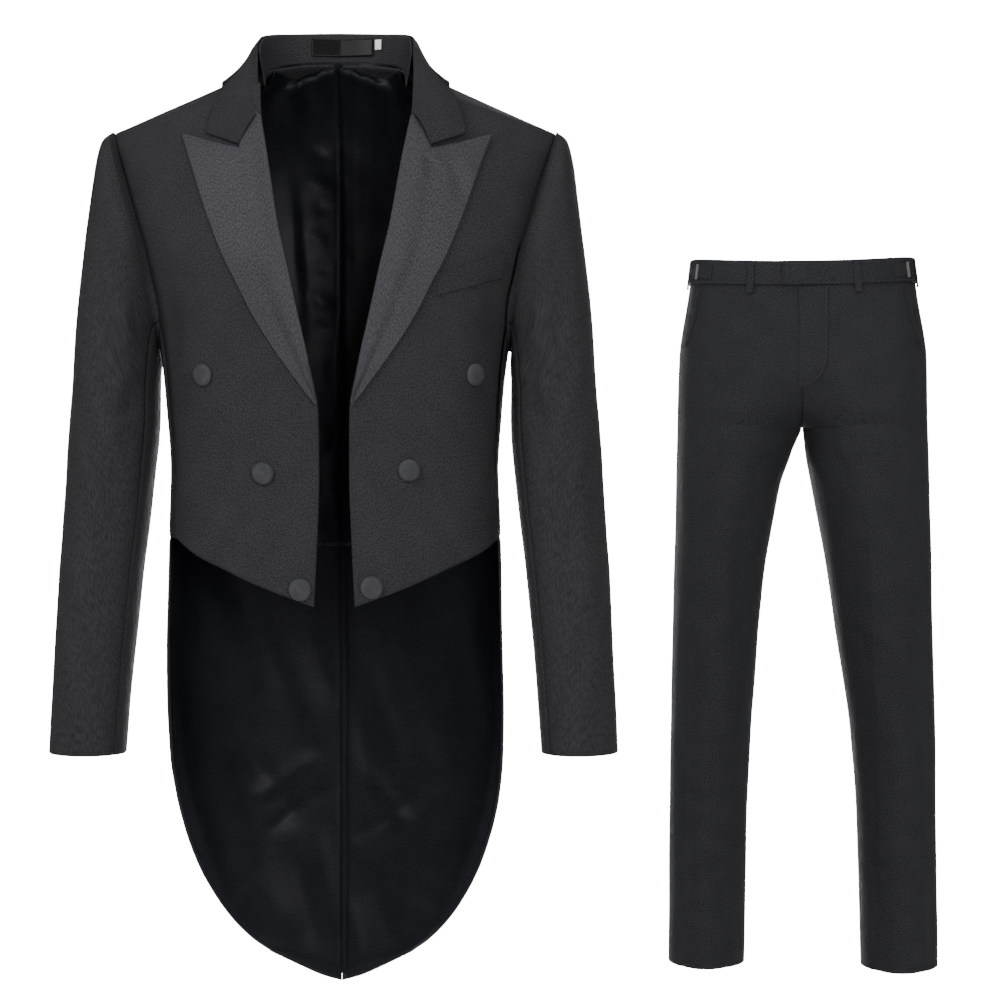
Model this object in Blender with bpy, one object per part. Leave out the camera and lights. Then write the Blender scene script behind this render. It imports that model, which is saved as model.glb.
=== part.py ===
"""A tailcoat suit, worn but with no wearer: the coat and, beside and behind it, its trousers.

Sizes are in millimetres and become metres as the meshes are made. +Z is up and the front
faces -Y. The origin is the middle of the coat's neck, where the wearer's shoulders hold it.
"_left" and "_right" are the wearer's, so "_left" lies at +X.
"""

import math

import bpy
import numpy as np

MM = 0.001
CLOTH = 2.0  # wall of the body cloth
LINING = 1.0  # wall of the lining
SEAM = 0.3  # gap between two pieces at a seam
LINING_EASE = 5.2  # the lining hangs this far inside the cloth
FRONT_TURN = 6.0  # the coat hangs with its front this far to the wearer's left
BUTTON = 23.0  # diameter of a covered button
TROUSER_PLACE = (594.0, 900.0)  # x and y of the trousers' middle
TROUSER_TURN = -6.8  # degrees about their upright axis
BAND = 30.0  # height of the trousers' waistband
TROUSER_TOP = -95.6  # height of the waistband's top

COLOURS = {
    "coat cloth": (0.030, 0.031, 0.034, 0.85),
    "trouser cloth": (0.033, 0.034, 0.038, 0.85),
    "lapel satin": (0.055, 0.053, 0.062, 0.45),
    "lining": (0.011, 0.012, 0.016, 0.40),
    "ribbon": (0.010, 0.010, 0.011, 0.30),
    "white tab": (0.80, 0.80, 0.78, 0.70),
    "metal": (0.60, 0.60, 0.58, 0.30),
}


def table(names, *rows):
    """Rows of numbers under named columns."""
    return dict(zip(names.split(), np.array(rows, float).T))


# The coat's sections, from the tails up to the neck.
BODY = table(
    "height half_width front back",
    (-960, 177, 100, 112),
    (-800, 177, 100, 116),
    (-700, 176.5, 100, 114),
    (-600, 175, 104, 106),
    (-540, 173.5, 108, 96),
    (-470, 172, 108, 86),
    (-400, 170, 110, 86),
    (-340, 174, 116, 94),
    (-275, 181, 122, 106),
    (-200, 199, 124, 114),
    (-150, 211, 118, 114),
    (-100, 223, 106, 108),
    (-50, 237, 92, 98),
    (20, 248, 80, 90),
    (60, 252, 80, 90),
)
ROUND = 2.3  # how square the sections are
ARCH = 100.0  # height over which the shoulder rounds from front to back
NECK_POINT = (85.0, 14.0)  # x and height of the shoulder seam at the neck
SHOULDER_POINT = (229.0, -50.0)  # and at the armhole
NECK_BACK = 30.0  # height of the back's neck edge at the middle

# Cut edges of the coat's wearer's-left half, seen from the front or the back.
ROLL_LINE = table(
    "x height",
    (79, -2), (75, -43), (65, -98), (55, -157), (45, -200), (35, -246), (27, -281), (16, -333),
)
FRONT_EDGE = table("x height", (16, -333), (15, -346), (14.5, -406), (17, -480), (20, -539))
FRONT_HEM = table("x height", (20, -539), (72, -520), (112, -502), (146, -486), (167, -470))
LAPEL_EDGE = table(
    "x height",
    (157, -61), (146, -92), (127, -148), (110, -190), (97, -215), (81, -247), (57, -285),
    (39, -310), (18, -338),
)
LAPEL_TOP = table("x height", (75, -45), (94, -80), (125, -72), (156, -61))
BACK_SEAM = table(
    "x height",
    (170, -190), (138, -235), (105, -290), (78, -350), (60, -410), (52, -470),
)
TAIL_SEAM = table("x height", (52, -470), (56, -600), (62, -750), (66, -880), (66, -926))
TAIL_EDGE = table(
    "x height",
    (172, -470), (174, -550), (175.2, -640), (174, -700), (170, -741), (162.5, -781), (151, -820),
    (137.5, -850), (119, -880), (96.5, -905), (76, -920.5),
)
TAIL_END = table("x height", (0, -953), (20, -947.5), (43, -937.5), (66, -926))
# The armhole: turn 0 at the shoulder point, 90 at the front, 180 under the arm, 270 behind.
ARMHOLE = table(
    "turn girth height",
    (0, 74.2, -50), (22, 74.5, -58), (45, 74, -84), (70, 71.3, -125), (95, 68, -172),
    (120, 68.5, -217), (140, 72, -246), (160, 79.5, -266), (180, 90, -275), (200, 100.5, -266),
    (220, 108, -246), (245, 112.5, -210), (265, 113, -172), (290, 110, -125), (315, 106.5, -84),
    (338, 105.5, -58), (360, 105.8, -50),
)
SIDE_SEAM_TURN = 145.0  # where the front's side seam meets the armhole
BACK_SEAM_TURN = 256.0  # where the back's curved seam meets the armhole
SIDE_SEAM_GIRTH = 76.0  # the side seam's place round the body at the waist
WAIST = -470.0
# The sleeve's outer and inner edges from the crown to the cuff, and its depth fore and aft.
SLEEVE = table(
    "outer_x outer_z inner_x inner_z half_depth forward",
    (236, -51, 181, -273, 62, 0),
    (244, -58, 181, -279, 68, 0),
    (250, -82, 181, -285, 72, 0),
    (254, -118, 181, -291, 74, 0),
    (259, -165, 181.5, -299, 74, 0),
    (264, -212, 182, -308, 73, 0),
    (268, -262, 182, -322, 72, 1),
    (271, -310, 182, -342, 71, 2),
    (275, -356, 183, -368, 69, 3),
    (278.5, -400, 186, -400, 67, 4),
    (281.5, -450, 191, -448, 63, 6),
    (284, -500, 197, -498, 60, 10),
    (286.5, -550, 202, -548, 57, 14),
    (289, -602, 207, -600, 54, 18),
    (291.5, -650, 211, -648, 51, 21),
    (293, -691, 214, -692, 49, 23),
)
SLEEVE_FOLDS = table(
    "row turn spread depth", (9.5, 60, 40, 2.5), (10.5, 95, 45, 3.0), (12.0, 70, 40, 2.0),
)

# The trousers' sections: the half across both legs above the fork, one leg below it.
HIPS = table(
    "height half_width front back",
    (-440, 174, 118, 128), (-330, 174.5, 120, 130), (-250, 173, 116, 130), (-200, 168, 112, 126),
    (-150, 160, 110, 118), (-95, 152, 108, 112),
)
LEG = table(
    "height inner outer half_depth crease seat",
    (-1078, 80, 187, 70, 8, 0), (-900, 76, 185.5, 73, 8, 0), (-760, 66, 184, 79, 8, 0),
    (-640, 50, 181.5, 88, 7, 0), (-520, 32, 179, 98, 6, 2), (-430, 16, 176.5, 108, 5, 5),
    (-375, 6, 175.5, 113, 3, 8), (-331, 0.6, 174.5, 115, 2, 10), (-230, 0.3, 172, 112, 0, 10),
    (-150, 0.3, 160, 104, 0, 6), (-95, 0.3, 152, 100, 0, 2),
)
# The wearer's right leg stands with its inner edge further out.
RIGHT_LEG = table(
    "height by",
    (-1078, 0), (-900, 1), (-786, 4), (-692, 9), (-600, 15), (-506, 19), (-413, 18), (-366, 11),
    (-345, 4), (-331, 0), (-95, 0),
)
FORK = -331.0  # height of the crotch
FORK_ROUND = 95.0  # height over which the crotch seam curves under
WIDEN_FROM = -115.0  # below this the hips' oval starts to widen into two legs
HIP_BEND = 2 / 2.4  # how square the hips' oval is


def smooth(at, knots, values):
    """A smooth curve through values at rising knots, which never overshoots them."""
    knots = np.asarray(knots, float)
    values = np.asarray(values, float)
    steps = np.diff(knots)
    slopes = np.diff(values) / steps
    product = slopes[1:] * slopes[:-1]
    total = np.where(product > 0, slopes[1:] + slopes[:-1], 1)
    inner = np.where(product > 0, 2 * product / total, 0)
    tangents = np.concatenate([slopes[:1], inner, slopes[-1:]])
    at = np.clip(np.asarray(at, float), knots[0], knots[-1])
    i = np.clip(np.searchsorted(knots, at, side="right") - 1, 0, len(steps) - 1)
    t = (at - knots[i]) / steps[i]
    start = values[i] * (1 + 2 * t) * (1 - t) ** 2 + tangents[i] * steps[i] * t * (1 - t) ** 2
    end = values[i + 1] * t**2 * (3 - 2 * t) + tangents[i + 1] * steps[i] * t**2 * (t - 1)
    return start + end


def column(rows, name, at):
    """One column of a table at row numbers that may fall between rows."""
    return smooth(at, np.arange(len(rows[name])), rows[name])


def ridge(x):
    """Height of the shoulder line."""
    slope = (SHOULDER_POINT[1] - NECK_POINT[1]) / (SHOULDER_POINT[0] - NECK_POINT[0])
    return NECK_POINT[1] + (np.abs(x) - NECK_POINT[0]) * slope


def half_width(z):
    return smooth(z, BODY["height"], BODY["half_width"])


def body_depth(x, z, behind):
    """How far the body's surface lies before or behind the shoulder line, at the middle."""
    deep = np.where(
        behind,
        smooth(z, BODY["height"], BODY["back"]),
        smooth(z, BODY["height"], BODY["front"]),
    )
    fall = np.clip((ridge(x) - z) / ARCH, 0, 1)
    return deep * np.sqrt(fall * (2 - fall))


def body(girth, z):
    """Points of the coat's outer surface: girth is 0 in front, 90 at the side, 180 behind."""
    turn = np.radians(girth)
    x = half_width(z) * np.abs(np.sin(turn)) ** (2 / ROUND)
    behind = np.cos(turn) < 0
    y = body_depth(x, z, behind) * np.abs(np.cos(turn)) ** (2 / ROUND)
    return np.stack([x, np.where(behind, y, -y), z + 0 * x], axis=-1)


def girth_at(x, z, behind):
    """The girth of a place seen from the front or the back."""
    turn = np.degrees(np.arcsin(np.clip(x / half_width(z), 0, 1) ** (ROUND / 2)))
    return np.where(behind, 180 - turn, turn)


def body_field(p):
    """Zero on the body's surface and rising outwards."""
    x, y, z = p[..., 0], p[..., 1], p[..., 2]
    left = 1 - (np.abs(x) / half_width(z)) ** ROUND
    return np.abs(y) ** ROUND - body_depth(x, z, y > 0) ** ROUND * left


def body_outward(p):
    """Unit directions out of the body's surface."""
    step = 0.05
    p = p.copy()
    p[..., 2] = np.minimum(p[..., 2], ridge(p[..., 0]) - 0.5)
    slope = [
        body_field(p + step * axis) - body_field(p - step * axis) for axis in np.eye(3)
    ]
    out = np.stack(slope, axis=-1)
    return out / np.linalg.norm(out, axis=-1, keepdims=True)


def edge(rows, count, behind=False, turned=0.0):
    """count + 1 places (girth, height) along a cut edge, evenly by length."""
    x, z = rows["x"] + turned, rows["height"]
    far = np.concatenate([[0], np.cumsum(np.hypot(np.diff(x), np.diff(z)))])
    at = np.linspace(0, far[-1], count + 1)
    x, z = smooth(at, far, x), smooth(at, far, z)
    return np.stack([girth_at(x, z, behind), z], axis=-1)


def armhole(start, end, count):
    """count + 1 places (girth, height) round the armhole."""
    turn = np.linspace(start, end, count + 1)
    girth = smooth(turn, ARMHOLE["turn"], ARMHOLE["girth"])
    return np.stack([girth, smooth(turn, ARMHOLE["turn"], ARMHOLE["height"])], axis=-1)


def straight(a, b, count):
    return np.asarray(a) + np.linspace(0, 1, count + 1)[:, None] * (np.asarray(b) - np.asarray(a))


def chain(*runs):
    """Runs of places, joined end to end."""
    return np.concatenate([runs[0]] + [run[1:] for run in runs[1:]])


def patch(top, bottom, left, right):
    """Places filling four edges: top and bottom run left to right, the sides run down."""
    down = np.linspace(0, 1, len(left))[:, None, None]
    over = np.linspace(0, 1, len(top))[None, :, None]
    sides = (1 - over) * left[:, None] + over * right[:, None]
    ends = (1 - down) * top[None] + down * bottom[None]
    corners = (1 - down) * ((1 - over) * top[0] + over * top[-1]) + down * (
        (1 - over) * bottom[0] + over * bottom[-1]
    )
    return sides + ends - corners


def pull_in(points, by):
    """Draws a grid's edges in, for the seam gaps: by gives top, bottom, left and right."""
    out = points.copy()
    top, bottom, left, right = by

    def toward(a, b, far):
        step = b - a
        return a + step * (far / np.maximum(np.linalg.norm(step, axis=-1, keepdims=True), 1e-6))

    out[:, 0] = toward(out[:, 0], points[:, 1], left)
    out[:, -1] = toward(out[:, -1], points[:, -2], right)
    out[0] = toward(out[0], out[1], top)
    out[-1] = toward(out[-1], out[-2], bottom)
    return out


def mirrored(points):
    return points * np.array([-1.0, 1.0, 1.0])


def paint(name):
    """The Principled material of one of the colours above."""
    red, green, blue, rough = COLOURS[name]
    material = bpy.data.materials.new(name)
    material.use_nodes = True
    shader = material.node_tree.nodes["Principled BSDF"]
    shader.inputs["Base Color"].default_value = (red, green, blue, 1)
    shader.inputs["Roughness"].default_value = rough
    shader.inputs["Metallic"].default_value = 1.0 if name == "metal" else 0.0
    material.diffuse_color = (red, green, blue, 1)
    return material


def solid(name, points, faces, colour):
    """A closed mesh object whose faces point out."""
    points = np.asarray(points, float) * MM
    volume = sum(
        np.dot(points[f[0]], np.cross(points[f[i]], points[f[i + 1]]))
        for f in faces
        for i in range(1, len(f) - 1)
    )
    if volume < 0:
        faces = [f[::-1] for f in faces]
    mesh = bpy.data.meshes.new(name)
    mesh.from_pydata(points.tolist(), [], faces)
    mesh.materials.append(paint(colour))
    mesh.shade_smooth()
    mesh.set_sharp_from_angle(angle=math.radians(40))
    thing = bpy.data.objects.new(name, mesh)
    bpy.context.scene.collection.objects.link(thing)
    return thing


# How much lower the trousers hang in front and at the sides, by height.
FRONT_HANG = table(
    "height front side", (-330, 0, 0), (-140, 15, 4), (-126, 14, 4), (-98, 8, 0), (-90, 8, 0)
)


def front_hang(points):
    """Points of the trousers, whose band hangs lower in front than at the back."""
    front = np.clip(-points[..., 1] / 110, 0, 1) ** 2
    z = points[..., 2]
    by = front * np.interp(z, FRONT_HANG["height"], FRONT_HANG["front"])
    by = by + (1 - front) * np.interp(z, FRONT_HANG["height"], FRONT_HANG["side"])
    return points - by[..., None] * (0, 0, 1)


def wall(name, outer, inner, colour, ring=False):
    """A cloth wall between two grids of points, closed round when it is a ring."""
    rows, columns = outer.shape[:2]
    points = np.concatenate([outer.reshape(-1, 3), inner.reshape(-1, 3)])
    if name.startswith("trouser"):
        points = front_hang(points)
    under = rows * columns
    faces = []
    last = columns if ring else columns - 1
    for r in range(rows - 1):
        for c in range(last):
            d = (c + 1) % columns
            quad = [r * columns + c, r * columns + d, (r + 1) * columns + d, (r + 1) * columns + c]
            faces.append(quad)
            faces.append([under + i for i in quad[::-1]])
    for c in range(last):
        d = (c + 1) % columns
        faces.append([c, under + c, under + d, d])
        e = (rows - 1) * columns
        faces.append([e + c, e + d, under + e + d, under + e + c])
    if not ring:
        for r in range(rows - 1):
            a, b = r * columns, (r + 1) * columns
            faces.append([a, b, under + b, under + a])
            a, b = a + columns - 1, b + columns - 1
            faces.append([a, under + a, under + b, b])
    return solid(name, points, faces, colour)


def body_wall(name, places, colour, thick=CLOTH, lift=0.0, gaps=(0.5, 0.5, 0.5, 0.5), side=1):
    """A panel on the body's surface; lift moves it out, and a negative lift in."""
    surface = body(places[..., 0], places[..., 1])
    out = body_outward(surface)
    surface = pull_in(surface, [SEAM * share for share in gaps])
    outer = surface + out * lift
    inner = surface + out * (lift - thick)
    if side < 0:
        outer, inner = mirrored(outer), mirrored(inner)
    return wall(name, outer, inner, colour)


def grid_outward(points, ring):
    """Unit directions out of a tube's grid of points."""
    if ring:
        across = np.roll(points, -1, axis=1) - np.roll(points, 1, axis=1)
    else:
        across = np.gradient(points, axis=1)
    down = np.gradient(points, axis=0)
    out = np.cross(across, down)
    out /= np.maximum(np.linalg.norm(out, axis=-1, keepdims=True), 1e-9)
    return out


FRONT_ROWS = 7  # rows of the front down to the side seam
SIDE_ROWS = 6  # rows from there to the waist
SHOULDER_COLUMNS = 8
NECK_COLUMNS = 3
TAIL_ROWS = 10


def shoulder_line(count):
    x = np.linspace(NECK_POINT[0], SHOULDER_POINT[0], count + 1)
    z = ridge(x)
    return np.stack([girth_at(x, z, False), z], axis=-1)


def side_seam(count):
    start = armhole(SIDE_SEAM_TURN, SIDE_SEAM_TURN, 1)[0]
    return straight(start, (SIDE_SEAM_GIRTH, WAIST), count)


def make_fronts():
    """The foreparts, from the roll line and front edge to the armhole and side seam."""
    for name, side in (("left", 1), ("right", -1)):
        turned = FRONT_TURN * side
        left = chain(
            edge(ROLL_LINE, FRONT_ROWS, turned=turned),
            edge(FRONT_EDGE, SIDE_ROWS, turned=turned),
        )
        top = shoulder_line(SHOULDER_COLUMNS)
        left[0] = top[0]
        right = chain(armhole(1.5, SIDE_SEAM_TURN, FRONT_ROWS), side_seam(SIDE_ROWS))
        right[0] = top[-1]
        bottom = edge(FRONT_HEM, SHOULDER_COLUMNS, turned=turned)
        bottom[-1] = right[-1]
        places = patch(top, bottom, left, right)
        body_wall(f"coat_front_{name}", places, "coat cloth", gaps=(1, 1, 1, 1), side=side)


def back_seam(count):
    start = armhole(BACK_SEAM_TURN, BACK_SEAM_TURN, 1)[0]
    seam = edge(BACK_SEAM, count, behind=True)
    seam[0] = start
    return seam


def make_side_bodies():
    """The panels under the arm, down to the waist seam."""
    top = armhole(SIDE_SEAM_TURN, BACK_SEAM_TURN, 8)
    left, right = side_seam(SIDE_ROWS + 1), back_seam(SIDE_ROWS + 1)
    bottom = straight(left[-1], right[-1], 8)
    places = patch(top, bottom, left, right)
    for name, side in (("left", 1), ("right", -1)):
        body_wall(f"coat_side_{name}", places, "coat cloth", gaps=(1, 1, 1, 1), side=side)


def make_backs():
    """Each back runs from the neck and shoulder down into its tail."""
    neck_x = np.linspace(0, NECK_POINT[0], NECK_COLUMNS + 1)
    neck_z = NECK_BACK - (NECK_BACK - NECK_POINT[1]) * (neck_x / NECK_POINT[0]) ** 2
    neck = np.stack([girth_at(neck_x, neck_z, True), neck_z], axis=-1)
    shoulder = shoulder_line(SHOULDER_COLUMNS)
    shoulder[:, 0] = 180 - shoulder[:, 0]
    top = chain(neck, shoulder)
    right = chain(
        armhole(358.5, BACK_SEAM_TURN, FRONT_ROWS),
        back_seam(SIDE_ROWS + 1),
        edge(TAIL_SEAM, TAIL_ROWS, behind=True),
    )
    right[0] = top[-1]
    upper = np.linspace(NECK_BACK, right[FRONT_ROWS, 1], FRONT_ROWS + 1)
    middle = np.concatenate([upper, right[FRONT_ROWS + 1:, 1]])
    middle[-1] = TAIL_END["height"][0]
    left = np.stack([180 + 0 * middle, middle], axis=-1)
    bottom = edge(TAIL_END, NECK_COLUMNS + SHOULDER_COLUMNS, behind=True)
    bottom[-1] = right[-1]
    places = patch(top, bottom, left, right)
    for name, side in (("left", 1), ("right", -1)):
        body_wall(f"coat_back_{name}", places, "coat cloth", gaps=(1, 1, 0.5, 1), side=side)


def skirt_places(columns, rows):
    """Places of the skirt, from its open front edge at the side to the tail's seam."""
    left = edge(TAIL_EDGE, rows, behind=True)
    start = np.array([SIDE_SEAM_GIRTH + 6, WAIST])
    forward = np.linspace(1, 0, rows + 1) ** 2
    left[:, 0] -= forward * (left[0, 0] - start[0])
    right = edge(TAIL_SEAM, rows, behind=True)
    top = straight(left[0], right[0], columns)
    return patch(top, straight(left[-1], right[-1], columns), left, right)


def make_skirts():
    """The skirts of the tails, sewn on at the waist."""
    for name, side in (("left", 1), ("right", -1)):
        body_wall(f"coat_skirt_{name}", skirt_places(7, TAIL_ROWS), "coat cloth", side=side)


TAIL_LINING_IN = 2.5  # degrees round the body that the tails' lining stays inside their edge


def make_linings():
    """The lining shows inside the back of the body and inside the tails."""
    lift = -(CLOTH + LINING_EASE)
    for name, side in (("left", 1), ("right", -1)):
        low = np.linspace(-283, WAIST, 6)
        middle = np.concatenate([np.linspace(26, -245, 8), low])
        sides = np.concatenate([np.linspace(-62, -245, 8), low])
        outer = smooth(sides, [WAIST, -275, -245, -200, -100, -62], [88, 92, 112, 120, 122, 126])
        left = np.stack([180 + 0 * middle, middle], axis=-1)
        right = np.stack([outer, sides], axis=-1)
        top = straight(left[0], right[0], 6)
        bottom = straight(left[-1], right[-1], 6)
        places = patch(top, bottom, left, right)
        body_wall(f"coat_lining_{name}", places, "lining", LINING, lift, side=side)
        tail_out = edge(TAIL_EDGE, TAIL_ROWS, behind=True)
        tail_out[:, 0] += TAIL_LINING_IN
        down = np.linspace(WAIST, -941, TAIL_ROWS + 1)
        tail_in = np.stack([178 + 0 * down, down], axis=-1)
        tail_out[-1] = girth_at(62, -917, True), -917
        top = straight(tail_in[0], tail_out[0], 9)
        bottom = straight(tail_in[-1], tail_out[-1], 9)
        places = patch(top, bottom, tail_in, tail_out)
        gaps = (1.5, 1, 1, 1)
        body_wall(f"coat_tail_lining_{name}", places, "lining", LINING, lift, gaps, side)


def make_vent():
    """The strip that backs the open vent between the tails."""
    heights = np.linspace(WAIST - 4, -940, TAIL_ROWS + 1)
    across = np.array([-14.0, -5.0, 4.0])
    down = heights[:, None] + 0 * across[None]
    surface = body(girth_at(np.abs(across)[None], down, True), down)
    surface[..., 0] *= np.sign(across)
    out = np.array([0.0, 1.0, 0.0])
    lift = CLOTH + LINING_EASE + LINING + 3 * SEAM
    wall("coat_vent_strip", surface - out * lift, surface - out * (lift + LINING), "lining")


def lapel_places(columns, rows, turned):
    """Places of the lapel, between its roll line and its outer edge."""
    left = edge(
        {"x": ROLL_LINE["x"][1:], "height": ROLL_LINE["height"][1:]}, rows, turned=turned
    )
    right = edge(LAPEL_EDGE, rows, turned=turned)
    top = edge(LAPEL_TOP, columns, turned=turned)
    left[0], right[0] = top[0], top[-1]
    return patch(top, straight(left[-1], right[-1], columns), left, right)


def make_lapels():
    """The peaked lapels lie on the foreparts and roll softly at their inner edge."""
    for name, side in (("left", 1), ("right", -1)):
        places = lapel_places(6, 14, FRONT_TURN * side)
        surface = body(places[..., 0], places[..., 1])
        out = body_outward(surface)
        over = np.linspace(0, 1, places.shape[1])[None, :, None]
        roll = 3.5 * np.sin(np.pi * np.minimum(over * 2.2, 1)) ** 2
        foot = surface + out * (4 * SEAM + roll)
        points = [foot + out * CLOTH, foot]
        if side < 0:
            points = [mirrored(p) for p in points]
        wall(f"coat_lapel_{name}", points[0], points[1], "lapel satin")


STAND_HEIGHT = 30.0  # of the collar's stand, below its fold
STAND_LEAN = 0.075  # share by which the stand narrows towards the neck seam
# The collar, from the gorge round to the middle of the back: its fold, and its outer edge.
COLLAR = table(
    "fold_x fold_y fold_z edge_x edge_z behind",
    (77, -79, -43, 95, -77, 0),
    (78, -58, -20, 130, -64, 0),
    (80, -32, 10, 123, -34, 0),
    (80, -8, 36, 116, -14, 0),
    (78, 18, 52, 107, -2, 1),
    (66, 45, 60, 98, 2, 1),
    (40, 66, 65, 64, 6, 1),
    (0, 74, 67, 0, 9, 1),
)


def collar_curves(count):
    """Points along the collar's fold and outer edge, with the way out at that edge."""
    at = np.linspace(0, len(COLLAR["fold_x"]) - 1, count + 1)
    fold = np.stack([column(COLLAR, name, at) for name in ("fold_x", "fold_y", "fold_z")], axis=-1)
    x, z = column(COLLAR, "edge_x", at), column(COLLAR, "edge_z", at)
    turn = girth_at(x, z, False)
    behind = column(COLLAR, "behind", at)
    front, back = body(turn, z), body(180 - turn, z)
    rim = front + (back - front) * behind[:, None]
    z_over = np.where(ridge(x) - z < 14, 8.0, 0.0)
    out = body_outward(np.where(behind[:, None] > 0.5, back, front))
    return fold, rim + z_over[:, None] * (0, 0, 1), out


def both_halves(half):
    """A grid that runs on from one half to the mirrored other half."""
    return np.concatenate([half, mirrored(half[:, -2::-1])], axis=1)


def make_collar():
    """The fall of the collar, outside, and its stand, inside the neck."""
    fold, rim, out = collar_curves(10)
    rows = []
    for t in np.linspace(0, 1, 6):
        bulge = 4.0 * math.sin(math.pi * t) + SEAM + 3.5 * min(3 * t, 1)
        rows.append(fold * (1 - t) + rim * t + out * bulge + (0, 0, 4 * math.sin(math.pi * t)))
    outer = both_halves(np.array(rows))
    outer[..., 0] += FRONT_TURN * np.clip(-outer[..., 1] / 80, 0, 1)
    normal = grid_outward(outer, False)
    normal *= np.sign((normal * outer * (1, 1, 0)).sum(-1).mean())
    wall("coat_collar", outer + normal * CLOTH, outer, "coat cloth")
    stand = []
    for t in np.linspace(0, 1, 4):
        lean = 1 - STAND_LEAN * t
        stand.append(fold * (lean, lean, 1) - (0, 0, STAND_HEIGHT * t))
    inner = both_halves(np.array(stand)[:, 4:])
    way = grid_outward(inner, False)
    way *= np.sign((way * inner * (1, 1, 0)).sum(-1).mean())
    wall("coat_collar_stand", inner, inner - way * CLOTH, "coat cloth")


def sleeve_grid(rows, columns):
    """The sleeve's outer points: row 0 at the crown, column 0 at the outer edge."""
    at = np.linspace(0, len(SLEEVE["outer_x"]) - 1, rows + 1)
    turn = np.linspace(0, 360, columns, endpoint=False)
    points = sleeve_ovals(at, turn)
    crown = np.clip(1 - at[:, None] / 6, 0, 1) ** 1.5
    girth = smooth(turn, ARMHOLE["turn"], ARMHOLE["girth"])
    height = smooth(turn, ARMHOLE["turn"], ARMHOLE["height"])
    loop = body(girth, height)
    loop = loop + body_outward(loop) * 1.5
    scoop = loop - points[:1]
    points[0] = loop + (0.8, 0, 0)
    for r in range(1, rows + 1):
        points[r] += scoop[0] * crown[r] * (0.7, 0.3, 0.6)
    folds = zip(*(SLEEVE_FOLDS[name] for name in ("row", "turn", "spread", "depth")))
    for row, where, spread, sink in folds:
        dip = np.exp(-(((at[:, None] - row) / 0.5) ** 2) - ((turn[None] - where) / spread) ** 2)
        points[..., 1] += sink * dip
    return points


def sleeve_ovals(at, turn):
    """The sleeve's plain ovals, before its head is drawn to the armhole."""
    names = ("outer_x", "outer_z", "inner_x", "inner_z", "half_depth", "forward")
    ox, oz, ix, iz, deep, forward = (column(SLEEVE, name, at)[:, None] for name in names)
    c, s = np.cos(np.radians(turn))[None], np.sin(np.radians(turn))[None]
    x = (ox + ix) / 2 + (ox - ix) / 2 * c
    z = (oz + iz) / 2 + (oz - iz) / 2 * c
    return np.stack([x, -deep * s - forward, z], axis=-1)


def make_sleeves():
    """Two-piece sleeves: the top sleeve in front and outside, the under sleeve behind."""
    columns = 20
    grid = sleeve_grid(18, columns)
    out = grid_outward(grid, True)
    middle = grid.mean(axis=1, keepdims=True)
    out *= np.sign(((grid - middle) * out).sum())
    fore_seam, hind_seam = 8, 15  # columns of the two seams
    cuts = {
        "top": [c % columns for c in range(hind_seam, columns + fore_seam + 1)],
        "under": list(range(fore_seam, hind_seam + 1)),
    }
    for name, side in (("left", 1), ("right", -1)):
        for piece, cut in cuts.items():
            surface = pull_in(grid[:, cut], [0, 0, SEAM / 2, SEAM / 2])
            inner = surface - out[:, cut] * CLOTH
            if side < 0:
                surface, inner = mirrored(surface), mirrored(inner)
            wall(f"coat_{piece}_sleeve_{name}", surface, inner, "coat cloth")


def strip_on_body(name, corners, columns, rows, lift, thick, colour):
    """A flat strip on the coat's front, between four corners seen from the front."""
    (a, b, c, d) = (np.array(p, float) for p in corners)
    over = np.linspace(0, 1, columns + 1)[None, :, None]
    down = np.linspace(0, 1, rows + 1)[:, None, None]
    flat = (1 - down) * ((1 - over) * a + over * b) + down * ((1 - over) * d + over * c)
    places = np.stack([girth_at(flat[..., 0], flat[..., 1], False), flat[..., 1]], axis=-1)
    body_wall(name, places, colour, thick, lift + thick, (0, 0, 0, 0))


def dome(name, middle, out, width, height, colour, sides=16):
    """A covered button: a low dome over a flat foot."""
    out = out / np.linalg.norm(out)
    side = np.cross(out, (0, 0, 1.0))
    side /= np.linalg.norm(side)
    up = np.cross(side, out)
    rings = ((0.90, 0.0), (1.0, 0.22), (0.97, 0.5), (0.80, 0.82), (0.45, 0.97))
    turn = np.radians(np.arange(sides) * 360 / sides)
    points, faces = [], []
    for share, rise in rings:
        for a in turn:
            reach = width / 2 * share
            round_it = math.cos(a) * side + math.sin(a) * up
            points.append(middle + out * rise * height + round_it * reach)
    for r in range(len(rings) - 1):
        for c in range(sides):
            d = (c + 1) % sides
            faces.append([r * sides + c, r * sides + d, (r + 1) * sides + d, (r + 1) * sides + c])
    faces.append(list(range(sides))[::-1])
    points.append(middle + out * height)
    top = (len(rings) - 1) * sides
    faces += [[top + c, top + (c + 1) % sides, len(points) - 1] for c in range(sides)]
    return solid(name, points, faces, colour)


BUTTONS = table(
    "x height", (145, -305), (-126, -306), (80, -402), (-65, -405), (43, -519), (-28, -521),
)
WELT = ((113, -205), (178, -182), (173, -208), (106, -229))


def make_front_details():
    """The breast pocket's welt and the six covered buttons."""
    strip_on_body("coat_welt_pocket", WELT, 8, 2, SEAM, 1.6, "coat cloth")
    for i, (x, z) in enumerate(zip(BUTTONS["x"], BUTTONS["height"])):
        place = body(girth_at(abs(x), z, False), np.float64(z))
        out = body_outward(place)
        if x < 0:
            place, out = mirrored(place), mirrored(out)
        dome(f"coat_button_{i + 1}", place + out * 0.5, out, BUTTON, 6.0, "coat cloth")


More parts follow.
